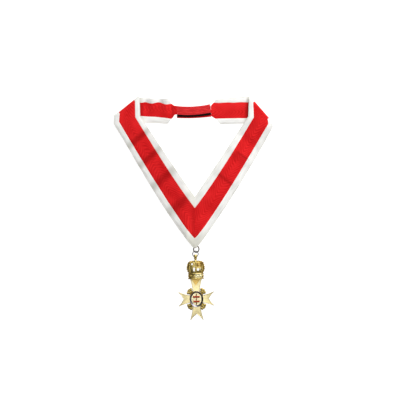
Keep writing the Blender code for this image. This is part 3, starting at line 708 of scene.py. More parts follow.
# the cross's face, its low arm tips painted darker as painted shade
CROSS_GILT = Gilt("gilt_cross", 0.9, 1.6, 0.36)
SATIN_GILT = Gilt("gilt_satin", 0.0, 2.2, 0.42)
CHASED_GILT = Gilt("gilt_chased", 0.9, 2.4, 0.36, uneven=0.3)
# the cross's bevels, painted darker as painted shade
EDGE_GILT = Gilt("gilt_edge", -1.0, 2.2, 0.45)
CROWN_GILT = Gilt("gilt_crown", 2.0, 7.0, 0.42, 0.0004, 0.4)
RAISED_GILT = Gilt("gilt_raised", 1.0, 7.0, 0.38, 0.0001, 0.3)
BAIL_GILT = Gilt("gilt_bail", 2.0, 7.0, 0.34)
GILT_SCALE = 420.0
GILT_SMOOTH = 0.8  # of the gilding's roughness where it is smoothest
GILT_ROUGH = 1.25  # and where it is roughest


def gilding(gilt, dark, bright, patches=()):
    """Gilt metal, toned dark in what lies low, bright on its tops, and uneven, with boxes of painted highlight
    and painted shade.
    """
    finish = Finish(gilt.name, Metallic=1.0)
    height = finish.axes(finish.place())[2]
    grain = finish.cloud(GILT_SCALE, detail=3.0, rough=0.6)
    shifted = finish.spread(grain, 0.35, 0.65, -gilt.uneven, gilt.uneven)
    lift = finish.math("ADD", finish.spread(height, gilt.low * MM, gilt.high * MM), shifted)
    colour = finish.mix(lift, tuple(dark), tuple(bright))
    blotch = finish.spread(finish.cloud(BLOTCH_SCALE), 0.3, 0.5, BLOTCH_LEAST, 1.0)
    for patch in patches:
        apart = finish.axes(finish.on_jewel())
        across = finish.within(apart[0], patch.left, patch.right)
        inside = finish.math("MULTIPLY", across, finish.within(apart[1], patch.low, patch.high))
        colour = finish.mix(finish.math("MULTIPLY", inside, blotch), colour, patch.colour)
    finish.fill(
        Base_Color=colour,
        Roughness=finish.spread(grain, *CLOUD, gilt.rough * GILT_SMOOTH, gilt.rough * GILT_ROUGH),
        Normal=finish.bump(grain, gilt.relief, strength=0.4),
    )
    return finish.material


POLISH_SCALE = 700.0
POLISH_ROUGH = (0.25, 0.35)


def polished_metal():
    """The bright bezel of the medallion, dark where it mirrors the room."""
    finish = Finish("polished_rim", Metallic=1.0, Base_Color=(0.23, 0.22, 0.25))
    finish.fill(Roughness=finish.spread(finish.cloud(POLISH_SCALE), *CLOUD, *POLISH_ROUGH))
    return finish.material


FIELD_SCALE = 1500.0
FIELD_COLOURS = ((0.97, 0.86, 0.47), (0.99, 0.94, 0.62))
FIELD_RELIEF = 0.00002


def pale_field():
    """The satin field under the small cross."""
    finish = Finish("pale_gilt", Roughness=0.35, Specular_IOR_Level=0.3)
    grain = finish.cloud(FIELD_SCALE)
    finish.fill(
        Base_Color=finish.mix(grain, *FIELD_COLOURS),
        Normal=finish.bump(grain, FIELD_RELIEF, strength=0.5),
    )
    return finish.material


POOL_SCALE = 800.0
POOL_SHADE = 0.7
ENAMEL_STEM = (0.24, 0.07, 0.02)  # the thin upright shows the brown ground through


def fired_enamel(jewel):
    """Glossy enamel, a little uneven in colour where it pooled."""
    finish = Finish("red_enamel", Roughness=0.3, Specular_IOR_Level=0.25)
    red = finish.mix(finish.cloud(POOL_SCALE), shaded(jewel.enamel, POOL_SHADE), tuple(jewel.enamel))
    aside = finish.math("ABSOLUTE", finish.axes(finish.on_jewel())[0])
    on_bars = finish.math("GREATER_THAN", aside, STEM_HALF_WIDTH)
    finish.fill(Base_Color=finish.mix(on_bars, ENAMEL_STEM, red))
    return finish.material


# Ribbon


def between(before, start, stop, after, part, slack=2):
    """A place on the smooth line from start to stop, straighter the greater slack is."""
    leave, arrive = (stop - before) / slack, (after - start) / slack
    return (
        start * (2 * part**3 - 3 * part**2 + 1)
        + leave * (part**3 - 2 * part**2 + part)
        + stop * (3 * part**2 - 2 * part**3)
        + arrive * (part**3 - part**2)
    )


def row_of(half, name):
    """The section of a half that bears a name."""
    return next(row for row in half.rows if row.name == name)


def crossing(row, track):
    """The X and Y where a section meets one of the four lines."""
    return mm((row.outer, row.seam_out, row.seam_in, row.inner)[track])


def level(row, track):
    """The height of a section at one of the four lines."""
    return (row.z_outer + (row.z_inner - row.z_outer) * TRACK_SHARE[track]) * MM


def bowed(line, share):
    """How far an arm's line stands outside the straight one."""
    peak = line.rise / (line.rise + line.fall)
    high = peak**line.rise * (1 - peak) ** line.fall
    return line.depth * MM * share**line.rise * (1 - share) ** line.fall / high


def waves_above(half, point):
    """How many waves there are between a point of an arm and its dart."""
    dart, mitre = row_of(half, "dart"), row_of(half, "mitre")
    top = (crossing(dart, 1) + crossing(dart, 2)) / 2
    along = ((crossing(mitre, 1) + crossing(mitre, 2)) / 2 - top).normalized()
    inward = Vector((half.side * along.y, -half.side * along.x, 0.0))
    down = (point - top).dot(along + inward * WAVE_SLANT)
    last = len(WAVES) - 2
    first = next((i for i in range(last) if down < WAVES[i + 1] * MM), last)
    return first + (down - WAVES[first] * MM) / ((WAVES[first + 1] - WAVES[first]) * MM)


def near_dart(share):
    """How much of an arm's height is its shoulder's, at a share of its length."""
    return smooth((share - 1 + SHOULDER_RUN) / SHOULDER_RUN)


def on_wave(cloth, half, point, share, free):
    """How high a point of an arm stands on the waves, and how much painted shade lies on it.

    free is 1 at the ribbon's free edge and 0 on the red band.
    """
    turn = math.tau * waves_above(half, point)
    swing = math.sin(turn) + WAVE_LEAN * math.sin(2 * turn)
    steep = math.cos(turn) + 2 * WAVE_LEAN * math.cos(2 * turn)
    held = 1 - (1 - WAVE_EDGE) * free
    beside = abs(point.x - crossing(row_of(half, "mitre"), 0).x)
    off_mitre = smooth(beside / WAVE_END)
    off_dart = 1 - near_dart(share)
    lift = cloth.wave * half.wave * off_mitre * off_dart * (1 + WAVE_LEAN / 2 - held * swing)
    # painted shade on the steep side of each wave, and beside the mitre
    shade = off_mitre * math.sqrt(off_dart) * max(steep, 0.0) / (1 + 2 * WAVE_LEAN)
    return lift, half.wave * (shade + MITRE_SHADE * (1 - off_mitre)) + crease_shade(point)


def arm_height(half, track, share):
    """The height of an arm without its waves: raised at the tip and climbing at the shoulder."""
    at_tip, at_dart = 1 - smooth(share / TIP_RUN), near_dart(share)
    lying = REST + half.bank * TRACK_SHARE[track]
    return level(row_of(half, "mitre"), track) * at_tip + FOLD_TOP * at_dart + lying * (1 - at_tip - at_dart)


def arm(_cloth, half, track, share):
    """A point of an arm, from the mitre at 0 to the dart at 1."""
    low = crossing(row_of(half, "mitre"), track)
    high = crossing(row_of(half, "dart"), track)
    low.x += half.side * MITRE_GAP
    way = high - low
    outward = Vector((half.side * way.y, -half.side * way.x, 0.0)).normalized()
    point = low + way * share + outward * bowed(half.bows[track], share)
    point.y = max(point.y, TIP_LOWEST)
    point.z = arm_height(half, track, share)
    return point


def fold_edge(half, track, thick):
    """A point of the fold's line, set in from its outside by the fold's radius, and the way out of it."""
    fold_row = row_of(half, "fold")
    line = (crossing(fold_row, 3) - crossing(fold_row, 0)).normalized()
    out = Vector((line.y, -line.x, 0.0)) * half.side
    return crossing(fold_row, track) - out * (FOLD_RADIUS + thick / 2), out


def shoulder(cloth, half, track, share):
    """A point between the dart at 0 and the fold at 1."""
    dart = crossing(row_of(half, "dart"), track)
    edge, _ = fold_edge(half, track, cloth.thickness)
    point = dart.lerp(edge, share)
    point.z = FOLD_TOP
    return point


def fold(cloth, half, track, share):
    """A point of the half-round fold, from the upper layer at 0 to the lower one at 1."""
    edge, out = fold_edge(half, track, cloth.thickness)
    turn = math.pi * share
    point = edge + out * FOLD_RADIUS * math.sin(turn)
    point.z = REST + FOLD_RADIUS * (1 + math.cos(turn))
    return point


def band(cloth, half, track, share):
    """A point of the neck band, from the fold at 0 to its folded end at 1, on one smooth line."""
    stops = [fold_edge(half, track, cloth.thickness)[0]]
    heights = [REST]
    for name in ("neck", "nape", "end"):
        row = row_of(half, name)
        stops.append(crossing(row, track))
        heights.append(level(row, track))
    reach = share * (len(stops) - 1)
    first = min(int(reach), len(stops) - 2)
    part = reach - first
    around = [stops[min(max(i, 0), len(stops) - 1)] for i in range(first - 1, first + 3)]
    point = between(*around, part)
    point.z = heights[first] + (heights[first + 1] - heights[first]) * smooth(part)
    return ruffled(half, track, point)


def ruffled(half, track, point):
    """The point lifted and shifted by the ruffles of the neck band's upper edge."""
    inward = abs(point.x)
    shown = smooth((RUFFLE_FIRST + RUFFLE_RUN - inward) / RUFFLE_RUN)
    turn = math.tau * (RUFFLE_FIRST - inward) / RUFFLE_PITCH
    hold = max(TRACK_SHARE[track] - TRACK_SHARE[1], 0.0) / (1 - TRACK_SHARE[1])
    point.z += half.ruffle * (1 - math.cos(turn)) * hold**2 * shown
    if track == 2:
        point.y += half.ruffle_shift * math.cos(turn) * shown
    return point


STRETCHES = ((arm, ARM_STEPS), (shoulder, SHOULDER_STEPS), (fold, FOLD_STEPS), (band, BAND_STEPS))


def line_of(cloth, half, track):
    """All the points of one of a half's four lines, from the mitre to the end of the neck band."""
    points = [arm(cloth, half, track, 0.0)]
    for stretch, steps in STRETCHES:
        points += [stretch(cloth, half, track, (i + 1) / steps) for i in range(steps)]
    return points


def tapered(points, ends):
    """A line carried on through its taper in small steps, without corners."""
    stops = [points[-2 - TAPER_STEPS], points[-1], *ends]
    run = []
    for before, start, stop, after in zip(stops, stops[1:], stops[2:], stops[3:] + stops[-1:]):
        for i in range(1, TAPER_STEPS + 1):
            run.append(between(before, start, stop, after, i / TAPER_STEPS, TAPER_SLACK))
    return points + run


def uneven(point, height):
    """The height of the cloth's small unevenness at a place."""
    broad = noise.noise(point * UNEVEN_BROAD)
    fine = noise.noise(point * UNEVEN_FINE + UNEVEN_SHIFT)
    return height * (1.0 + broad + 0.5 * fine) / 2


def flat(_point, _row, _across):
    """No lift and no painted shade anywhere."""
    return 0.0, 0.0


def crease_shade(point):
    """How much painted shade of one of the sharp creases lies on a point."""
    deepest = 0.0
    for shade in CREASE_SHADES:
        start, way = mm(shade.start), mm(shade.stop) - mm(shade.start)
        flat_point = Vector((point.x, point.y, 0.0))
        share = min(max((flat_point - start).dot(way) / way.length_squared, 0.0), 1.0)
        aside = (flat_point - start - way * share).length
        deepest = max(deepest, shade.depth * (1 - smooth(aside / CREASE_SHADE_REACH)))
    return deepest


def under_shoulder(half, point):
    """How much painted shadow lies on the neck band beside the edge of the shoulder that it comes out from
    under.
    """
    low = crossing(row_of(half, "dart"), 3)
    way = (crossing(row_of(half, "fold"), 3) - low).normalized()
    beside = (point - low).dot(Vector((way.y, -way.x, 0.0))) * -half.side
    return UNDER_SHADOW * (1 - smooth(beside / UNDER_REACH))


def on_waves(cloth, half, free_start, free_stop):
    """The lift and painted shade of a strip's points, given how free the strip's two lines are."""

    def laid(point, row, across):
        """The lift and painted shade of a point of a row."""
        free = free_start + (free_stop - free_start) * across
        lift, shade = 0.0, 0.0
        if row <= ARM_STEPS:
            lift, shade = on_wave(cloth, half, point, row / ARM_STEPS, free)
        elif row > ARM_STEPS + SHOULDER_STEPS + FOLD_STEPS:
            shade = under_shoulder(half, point)
        elif row > ARM_STEPS + SHOULDER_STEPS:
            # painted shade along the outside of the fold
            shade = FOLD_SHADE * smooth((row - ARM_STEPS - SHOULDER_STEPS) / FOLD_STEPS * 2)
        return lift, shade + EDGE_SHADE * smooth((free - EDGE_SHADE_FROM) / (1 - EDGE_SHADE_FROM))

    return laid


def rows_between(starts, stops, profile, pucker, laid):
    """The rows of a sheet's middle layer between two lines, and how much painted shade lies on each of their
    points.
    """
    rows, shades = [], []
    for i, (start, stop) in enumerate(zip(starts, stops)):
        row = [start.lerp(stop, column.share) for column in profile]
        shades.append([])
        for column, point in zip(profile, row):
            lift, shade = laid(point, i, column.share)
            point.z += uneven(point, pucker) + lift
            shades[-1].append(shade)
        rows.append(row)
    return rows, shades


def both_sides(shape, rows, profile, thick):
    """The vertices of a sheet's upper and lower side, each half its thickness off the middle layer."""
    last, end = len(rows) - 1, len(profile) - 1
    sides = ([], [])
    upward = None
    for i, row in enumerate(rows):
        above, below = [], []
        for j, point in enumerate(row):
            along = rows[min(i + 1, last)][j] - rows[max(i - 1, 0)][j]
            over = row[min(j + 1, end)] - row[max(j - 1, 0)]
            normal = along.cross(over).normalized()
            if upward is None:
                upward = math.copysign(1.0, normal.z)
            reach = normal * upward * thick / 2 * profile[j].thick
            above.append(shape.verts.new(point + reach))
            below.append(shape.verts.new(point - reach))
        sides[0].append(above)
        sides[1].append(below)
    return sides


def woven_places(rows, profile, sense):
    """How far along and across the cloth each point lies, in metres."""
    quarter = rows[(len(rows) - 1) // 4]
    way = (quarter[0] + quarter[-1] - rows[0][0] - rows[0][-1]).normalized()
    width = (quarter[-1] - quarter[0]).cross(way).length
    run = [[(point - rows[0][0]).dot(way) for point in rows[0]]]
    for before, after in zip(rows, rows[1:]):
        run.append([gone + (stop - start).length for gone, start, stop in zip(run[-1], before, after)])
    return [[(gone * sense, column.share * width) for gone, column in zip(row, profile)] for row in run]


def shell(name, starts, stops, profile, thick, pucker, finish, laid=flat, sense=1):
    """A closed sheet of cloth between two lines, with a UV map in metres along and across it.

    sense is -1 where the weave runs from the last row to the first.
    """
    rows, shades = rows_between(starts, stops, profile, pucker, laid)
    shape = bmesh.new()
    creased = shape.verts.layers.float.new(SHADE_ATTRIBUTE)
    grid = shape.loops.layers.uv.new(WOVEN)
    sides = above, below = both_sides(shape, rows, profile, thick)
    places = woven_places(rows, profile, sense)
    place = {}
    last, end = len(rows) - 1, len(profile) - 1
    for side in sides:
        for i, row in enumerate(side):
            for j, vertex in enumerate(row):
                place[vertex] = places[i][j]
                vertex[creased] = shades[i][j]
    for i in range(last):
        for j in range(end):
            for side in sides:
                shape.faces.new((side[i][j], side[i][j + 1], side[i + 1][j + 1], side[i + 1][j]))
        for j in (0, end):
            shape.faces.new((above[i][j], below[i][j], below[i + 1][j], above[i + 1][j]))
    for i in (0, last):
        for j in range(end):
            shape.faces.new((above[i][j], below[i][j], below[i][j + 1], above[i][j + 1]))
    for face in shape.faces:
        face.smooth = True
        for loop in face.loops:
            loop[grid].uv = place[loop.vert]
    bmesh.ops.recalc_face_normals(shape, faces=shape.faces)
    mesh = bpy.data.meshes.new(name)
    shape.to_mesh(mesh)
    shape.free()
    mesh.set_sharp_from_angle(angle=math.radians(SOFT_ANGLE))
    mesh.materials.append(finish)
    made = bpy.data.objects.new(name, mesh)
    bpy.context.scene.collection.objects.link(made)
    return made


def mounted(made, node):
    """A piece that rides on the collar and stands for its node."""
    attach(made, "root")
    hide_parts(node)
    return made


def free_edge_last(profile):
    """A profile turned round, for a strip whose free edge is its upper line."""
    return tuple(Column(1 - column.share, column.thick) for column in reversed(profile))


@registered
class CollarRibbon(bpy.types.Operator):
    """Sew both halves of the ribbon: the red bands and their white edgings."""

    bl_idname = "collar.ribbon"
    bl_label = "Ribbon"

    def execute(self, context):
        cloth = context.scene.collar_cloth
        red = red_ribbon(cloth, "red_moire")
        white = white_ribbon(cloth)
        for half in HALVES:
            lines = [line_of(cloth, half, track) for track in range(len(TRACK_SHARE))]
            for name, first, profile, free in (
                ("outer", 0, WHITE_PROFILE, (1.0, 0.0)),
                ("inner", 2, free_edge_last(WHITE_PROFILE), (0.0, 1.0)),
            ):
                label = half.name + "_" + name
                edging = shell(
                    "white_" + label, lines[first], lines[first + 1], profile,
                    cloth.thickness, cloth.pucker, white, on_waves(cloth, half, *free),
                )
                mounted(edging, "edging_" + label)
            lower = tapered(lines[1], [mm(row.lower, row.z * MM) for row in half.taper])
            upper = tapered(lines[2], [mm(row.upper, row.z * MM) for row in half.taper])
            middle = shell(
                "red_" + half.name, lower, upper, RED_PROFILE,
                cloth.thickness, cloth.pucker, red, on_waves(cloth, half, 0.0, 0.0), half.side,
            )
            mounted(middle, "ribbon_" + half.name)
        return {"FINISHED"}


# Fastening


def strap_line(strap, share):
    """The middle line of a strap at a share of its length."""
    first, middle, last = (mm(pair, strap.z * MM) for pair in strap.line)
    hump = share * (1 - share) * 4
    point = first.lerp(last, share) + (middle - first.lerp(last, 0.5)) * hump
    point.x = first.x + (last.x - first.x) * share
    return point


def strap_edge(strap, side):
    """The points along a strap's lower edge, side -1, or its upper edge, side 1."""
    edge = []
    for i in range(STRAP_STEPS + 1):
        share = i / STRAP_STEPS
        lean = strap.lean / 2 * smooth((share - LEAN_FROM) / (1 - LEAN_FROM))
        edge.append(strap_line(strap, share) + Vector((-side * lean, side * strap.width / 2, 0.0)) * MM)
    return edge


def make_stitch(finish):
    """One stitch along X: a short thread whose two ends are drawn down into the cloth."""
    half, drop = STITCH_LENGTH / 2, -STITCH_THICK * STITCH_STEEP
    made = begin(
        bpy.ops.mesh.primitive_cylinder_add, "stitch", finish,
        vertices=STITCH_SIDES, radius=STITCH_THICK / 2, depth=half, rotation=(0.0, math.pi / 2, 0.0),
    )
    for side in (-1, 1):
        pick("faces", lambda face: face.normal.x * side > LEVEL)
        pull((side * half / 2, 0.0, drop))
        scale((1.0, STITCH_END, STITCH_END), (side * half, 0.0, drop))
    finish_edit(WIRE_ANGLE)
    return made


def on_strap(strap, share, across):
    """The place on a strap's upper face at a share of its length and width, with X along the strap."""
    place = strap_line(strap, share)
    way = strap_line(strap, share + 1 / STRAP_STEPS) - strap_line(strap, share - 1 / STRAP_STEPS)
    turn = math.atan2(way.y, way.x)
    rise = Vector((0.0, (across - 0.5) * strap.width * MM, strap.thick / 2 * MM))
    return Matrix.Translation(place + rise) @ Matrix.Rotation(turn, 4, "Z")


def make_seams(strap, finish):
    """The seams of a strap: three along it and one across each end, of stitches made once and copied."""
    stitch = make_stitch(finish)
    pieces = []
    for across in SEAM_ROWS:
        for i in range(SEAM_STITCHES):
            share = SEAM_FROM + (SEAM_TO - SEAM_FROM) * (i + 0.5) / SEAM_STITCHES
            pieces.append(copied(stitch, on_strap(strap, share, across)))
    quarter = Matrix.Rotation(math.pi / 2, 4, "Z")
    for share in (SEAM_FROM, SEAM_TO):
        for i in range(END_STITCHES):
            across = SEAM_ROWS[0] + (SEAM_ROWS[-1] - SEAM_ROWS[0]) * (i + 0.5) / END_STITCHES
            pieces.append(copied(stitch, on_strap(strap, share, across) @ quarter))
    bpy.data.objects.remove(stitch)
    return mounted(joined(pieces, strap.name + "_seams"), strap.name)


TAB_CONTRAST = 0.6  # how much of the ribbon's watering the tabs show


@registered
class CollarFastening(bpy.types.Operator):
    """Lay the two tabs and the tape between them."""

    bl_idname = "collar.fastening"
    bl_label = "Fastening"

    def execute(self, context):
        cloth = context.scene.collar_cloth
        finishes = {
            "tab": red_ribbon(cloth, "red_tab", TAB_CONTRAST),
            "tape": black_tape(cloth),
            "stitched": quilted_tab(cloth),
        }
        for strap in STRAPS:
            made = shell(
                strap.name + "_cloth", strap_edge(strap, -1), strap_edge(strap, 1), STRAP_PROFILE,
                strap.thick * MM, 0.0, finishes[strap.finish],
            )
            mounted(made, strap.name)
            if strap.finish == "stitched":
                make_seams(strap, spun_thread("red_thread", cloth.deep))
        return {"FINISHED"}


# Modelling by hand


def start_fresh():
    """Leave every mesh and deselect all objects."""
    if bpy.context.object and bpy.context.object.mode != "OBJECT":
        bpy.ops.object.mode_set(mode="OBJECT")
    bpy.ops.object.select_all(action="DESELECT")


def take(made):
    """Make an object the active one and the only one selected."""
    start_fresh()
    made.select_set(True)
    bpy.context.view_layer.objects.active = made


def name_new(name, finish=None):
    """Name the object that was just made."""
    made = bpy.context.object
    made.name = name
    made.data.name = name
    if finish:
        made.data.materials.append(finish)
    return made


def begin(add, name, finish, **settings):
    """Add a primitive, name it, apply its place and turn, and go into edit mode."""
    start_fresh()
    add(**settings)
    made = name_new(name, finish)
    bpy.ops.object.transform_apply(location=True, rotation=True, scale=True)
    bpy.ops.object.mode_set(mode="EDIT")
    return made


def middle_of(part):
    """The middle of a vertex, edge or face."""
    if isinstance(part, bmesh.types.BMVert):
        return part.co.copy()
    return sum((vertex.co for vertex in part.verts), Vector()) / len(part.verts)


def pick(kind, test):
    """In edit mode, select the verts, edges or faces that pass a test, of which there must be some."""
    bpy.ops.mesh.select_mode(type={"verts": "VERT", "edges": "EDGE", "faces": "FACE"}[kind])
    bpy.ops.mesh.select_all(action="DESELECT")
    mesh = bpy.context.edit_object.data
    shape = bmesh.from_edit_mesh(mesh)
    chosen = [part for part in getattr(shape, kind) if test(part)]
    if not chosen:
        raise RuntimeError("none of the %s of %s can be picked" % (kind, mesh.name))
    for part in chosen:
        part.select_set(True)
    shape.select_flush_mode()
    bmesh.update_edit_mesh(mesh)


def pick_all():
    """In edit mode, select everything."""
    bpy.ops.mesh.select_all(action="SELECT")


def pick_tops(low):
    """Select the level faces above a height."""
    pick("faces", lambda face: abs(face.normal.z) > LEVEL and face.calc_center_median().z > low)


def apply_modifier(made, kind, **settings):
    """Add a modifier, set it and apply it."""
    step = made.modifiers.new(kind.lower(), kind)
    for name, value in settings.items():
        setattr(step, name, value)
    bpy.context.view_layer.update()
    with bpy.context.temp_override(object=made, active_object=made, selected_objects=[made]):
        bpy.ops.object.modifier_apply(modifier=step.name)


def ease(made, width):
    """Round off a piece's sharp edges."""
    apply_modifier(
        made, "BEVEL", width=width, segments=2, limit_method="ANGLE", angle_limit=math.radians(EASE_ANGLE)
    )


def settle(made, turn=None):
    """Apply the object's own place, and then carry it by a matrix to where it lies."""
    take(made)
    bpy.ops.object.transform_apply(location=True, rotation=True, scale=True)
    if turn:
        made.data.transform(turn)
        made.data.update()
    return made


def start_circle(name, sides, radius, place, finish, upright=False):
    """A circle at a place, flat or standing across the Y axis, left in edit mode with all of it selected."""
    tilt = math.pi / 2 if upright else 0.0
    made = begin(
        bpy.ops.mesh.primitive_circle_add, name, finish,
        vertices=sides, radius=radius, location=place, rotation=(tilt, 0.0, 0.0),
    )
    bpy.ops.mesh.select_mode(type="VERT")
    pick_all()
    return made


def pull(move):
    """Extrude what is selected by a vector."""
    bpy.ops.mesh.extrude_region_move(TRANSFORM_OT_translate={"value": tuple(move)})


def scale(values, about):
    """Scale what is selected about a point."""
    bpy.ops.transform.resize(value=values, center_override=tuple(about))


def shift(move):
    """Move what is selected."""
    bpy.ops.transform.translate(value=tuple(move))


def inset(thickness, depth=0.0):
    """Inset the selected faces, and raise or sink them."""
    bpy.ops.mesh.inset(thickness=thickness, depth=depth)


def close_ends():
    """Fill every open loop with a face."""
    pick("edges", lambda edge: edge.is_boundary)
    bpy.ops.mesh.edge_face_add()


def finish_edit(angle):
    """Weld, turn the normals outward and leave edit mode with smooth shading up to an angle."""
    pick_all()
    bpy.ops.mesh.remove_doubles(threshold=WELD)
    bpy.ops.mesh.normals_make_consistent(inside=False)
    bpy.ops.object.mode_set(mode="OBJECT")
    bpy.ops.object.shade_smooth_by_angle(angle=math.radians(angle))


def turned(name, rows, sides, finish):
    """A form turned about Y: a circle at its first row, extruded and scaled through the others."""
    place = (0.0, rows[0].height * MM, 0.0)
    made = start_circle(name, sides, rows[0].radius * MM, place, finish, upright=True)
    for before, row in zip(rows, rows[1:]):
        pull((0.0, (row.height - before.height) * MM, 0.0))
        size = row.radius / before.radius
        scale((size, 1.0, size), (0.0, row.height * MM, 0.0))
    return made


def finer(rows, steps):
    """The rows of a turned form with smooth ones between them."""
    run = [rows[0]]
    for around in zip(rows[:1] + rows, rows, rows[1:], rows[2:] + rows[-1:]):
        for i in range(1, steps + 1):
            run.append(Turn(*(between(*values, i / steps) for values in zip(*around))))
    return run


def joined(pieces, name):
    """Several pieces made one."""
    start_fresh()
    for piece in pieces:
        piece.select_set(True)
    bpy.context.view_layer.objects.active = pieces[0]
    if len(pieces) > 1:
        bpy.ops.object.join()
    return name_new(name)


def wires(name, runs, radius, rounding, finish, closed=False):
    """Round wires along runs of points, drawn as one curve and made a mesh."""
    curve = bpy.data.curves.new(name, "CURVE")
    curve.dimensions = "3D"
    for run in runs:
        spline = curve.splines.new("POLY")
        spline.points.add(len(run) - 1)
        spline.use_cyclic_u = closed
        for knot, point in zip(spline.points, run):
            knot.co = (*point, 1.0)
    curve.bevel_depth = radius
    curve.bevel_resolution = rounding
    curve.use_fill_caps = not closed
    made = bpy.data.objects.new(name, curve)
    bpy.context.scene.collection.objects.link(made)
    take(made)
    bpy.ops.object.convert(target="MESH")
    made = bpy.context.object
    made.data.materials.clear()
    made.data.materials.append(finish)
    bpy.ops.object.shade_smooth()
    return made


def copied(made, turn):
    """A copy with its own mesh, carried by a matrix."""
    twin = made.copy()
    twin.data = made.data.copy()
    twin.data.transform(turn)
    if turn.determinant() < 0:
        twin.data.flip_normals()
    bpy.context.scene.collection.objects.link(twin)
    return twin


def on_ribbon(made, node):
    """A piece of the jewel turned and moved to where the jewel lies, standing for its node."""
    settle(made, Matrix.Translation(JEWEL_PLACE) @ Matrix.Rotation(JEWEL_TURN, 4, "Z"))
    return mounted(made, node)


# Hanger

RING_SIDES = 96
WIRE_SIDES = 20
RING_CUT = 0.4  # of a side's length, on either side of the middle of the cut
END_ROUND = (0.15, 0.1)  # a wire end's rounded edge: how far in, and out, as shares of the wire's radius
THREAD_PLIES = 3
THREAD_TURNS = 9
THREAD_POINTS = 120
THREAD_ROUND = 2  # how finely a ply is rounded
PLY_APART = 0.55  # from the thread's middle to a ply's, as a share of its thickness
THREAD_WHITE = (0.80, 0.79, 0.75)


def make_ring(ring, finish):
    """A split ring: a torus opened by a fine cut whose ends are closed and eased."""
    made = begin(
        bpy.ops.mesh.primitive_torus_add, ring.name + "_wire", finish,
        major_segments=RING_SIDES, minor_segments=WIRE_SIDES,
        major_radius=ring.radius * MM, minor_radius=ring.wire * MM,
    )
    step = math.tau / RING_SIDES
    cut = math.radians(ring.split) // step * step + step / 2

    def off_cut(point):
        """The turn from the middle of the cut to a point."""
        return math.remainder(math.atan2(point.y, point.x) - cut, math.tau)

    pick("faces", lambda face: abs(off_cut(middle_of(face))) < step * RING_CUT)
    bpy.ops.mesh.delete(type="ONLY_FACE")
    pick("edges", lambda edge: edge.is_wire)
    bpy.ops.mesh.delete(type="EDGE")
    for side in (-1, 1):
        pick("edges", lambda edge: edge.is_boundary and 0 < off_cut(middle_of(edge)) * side < step)
        bpy.ops.mesh.edge_face_add()
        inset(*(ring.wire * MM * share for share in END_ROUND))
    pick_all()
    bpy.ops.mesh.normals_make_consistent(inside=False)
    bpy.ops.object.mode_set(mode="OBJECT")
    bpy.ops.object.shade_smooth_by_angle(angle=math.radians(WIRE_ANGLE))
    made.rotation_euler = (math.radians(ring.tilt_x), math.radians(ring.tilt_y), 0.0)
    made.location = [value * MM for value in ring.centre]
    return mounted(settle(made), ring.name)


def make_thread(finish, thick):
    """The loop of twisted thread behind the tip."""
    plies = []
    for ply in range(THREAD_PLIES):
        plies.append([])
        for i in range(THREAD_POINTS):
            turn = math.tau * i / THREAD_POINTS
            twist = turn * THREAD_TURNS + math.tau * ply / THREAD_PLIES
            out = thick * PLY_APART * math.cos(twist)
            aside = thick * PLY_APART * math.sin(twist)
            around = (aside, (LOOP_REACH + out) * math.cos(turn), (LOOP_RISE + out) * math.sin(turn))
            plies[-1].append(LOOP_CENTRE + Vector(around))
    made = wires("thread_loop_plies", plies, thick / 2, THREAD_ROUND, finish, closed=True)
    return mounted(settle(made), "thread_loop")


LOOP_THREAD = 0.4 * MM


@registered
class CollarHanger(bpy.types.Operator):
    """Link the two rings and sew the thread loop that holds them."""

    bl_idname = "collar.hanger"
    bl_label = "Hanger"

    def execute(self, context):
        jewel = context.scene.collar_jewel
        # the upper ring's steel is darker as painted shade from the ribbon over it
        for ring, colour in zip(RINGS, (jewel.dark_steel, jewel.steel)):
            make_ring(ring, wire_steel(ring.name + "_steel", colour))
        make_thread(spun_thread("white_thread", THREAD_WHITE), LOOP_THREAD)
        return {"FINISHED"}


# Jewel


def make_arm(row):
    """Draw one arm of the cross out of the block in the middle, and fold its end in to the notch."""
    turn = Matrix.Rotation(math.radians(row.turn), 3, "Z")
    back = turn.inverted()

    def seen(part):
        """The middle of a part of the mesh, turned as if this arm pointed along X."""
        return back @ middle_of(part)

    step = (row.reach - row.start) * MM / REACH_STEPS
    halves = [row.root * MM]
    pick("edges", lambda edge: edge.is_boundary and abs(seen(edge).x - row.start * MM) < WELD)
    for i in range(1, REACH_STEPS + 1):
        share = i / REACH_STEPS
        hollow = row.hollow * 4 * share * (1 - share)
        halves.append((row.root + (row.spread - row.root) * share - hollow) * MM)
        pull(turn @ Vector((step, 0.0, -TIP_DROP / REACH_STEPS)))
        wider = halves[-1] / halves[-2]
        scale((wider, 1.0, 1.0) if row.turn % 180 else (1.0, wider, 1.0), (0.0, 0.0, 0.0))
    for i in range(1, REACH_STEPS + 1):
        share = i / REACH_STEPS
        place = row.start * MM + step * i
        deep = (row.reach - row.notch) * MM * share
        for near, move in ((0.5, deep / 2 + NOTCH_HOLLOW * MM * share**2), (0.0, deep)):
            level = halves[i] * near

            def chosen(vertex):
                """Whether a vertex stands at this step and this far off the arm's middle line."""
                point = seen(vertex)
                return abs(point.x - place) < SNAP and abs(abs(point.y) - level) < SNAP

            pick("verts", chosen)
            shift(turn @ Vector((-move, 0.0, 0.0)))


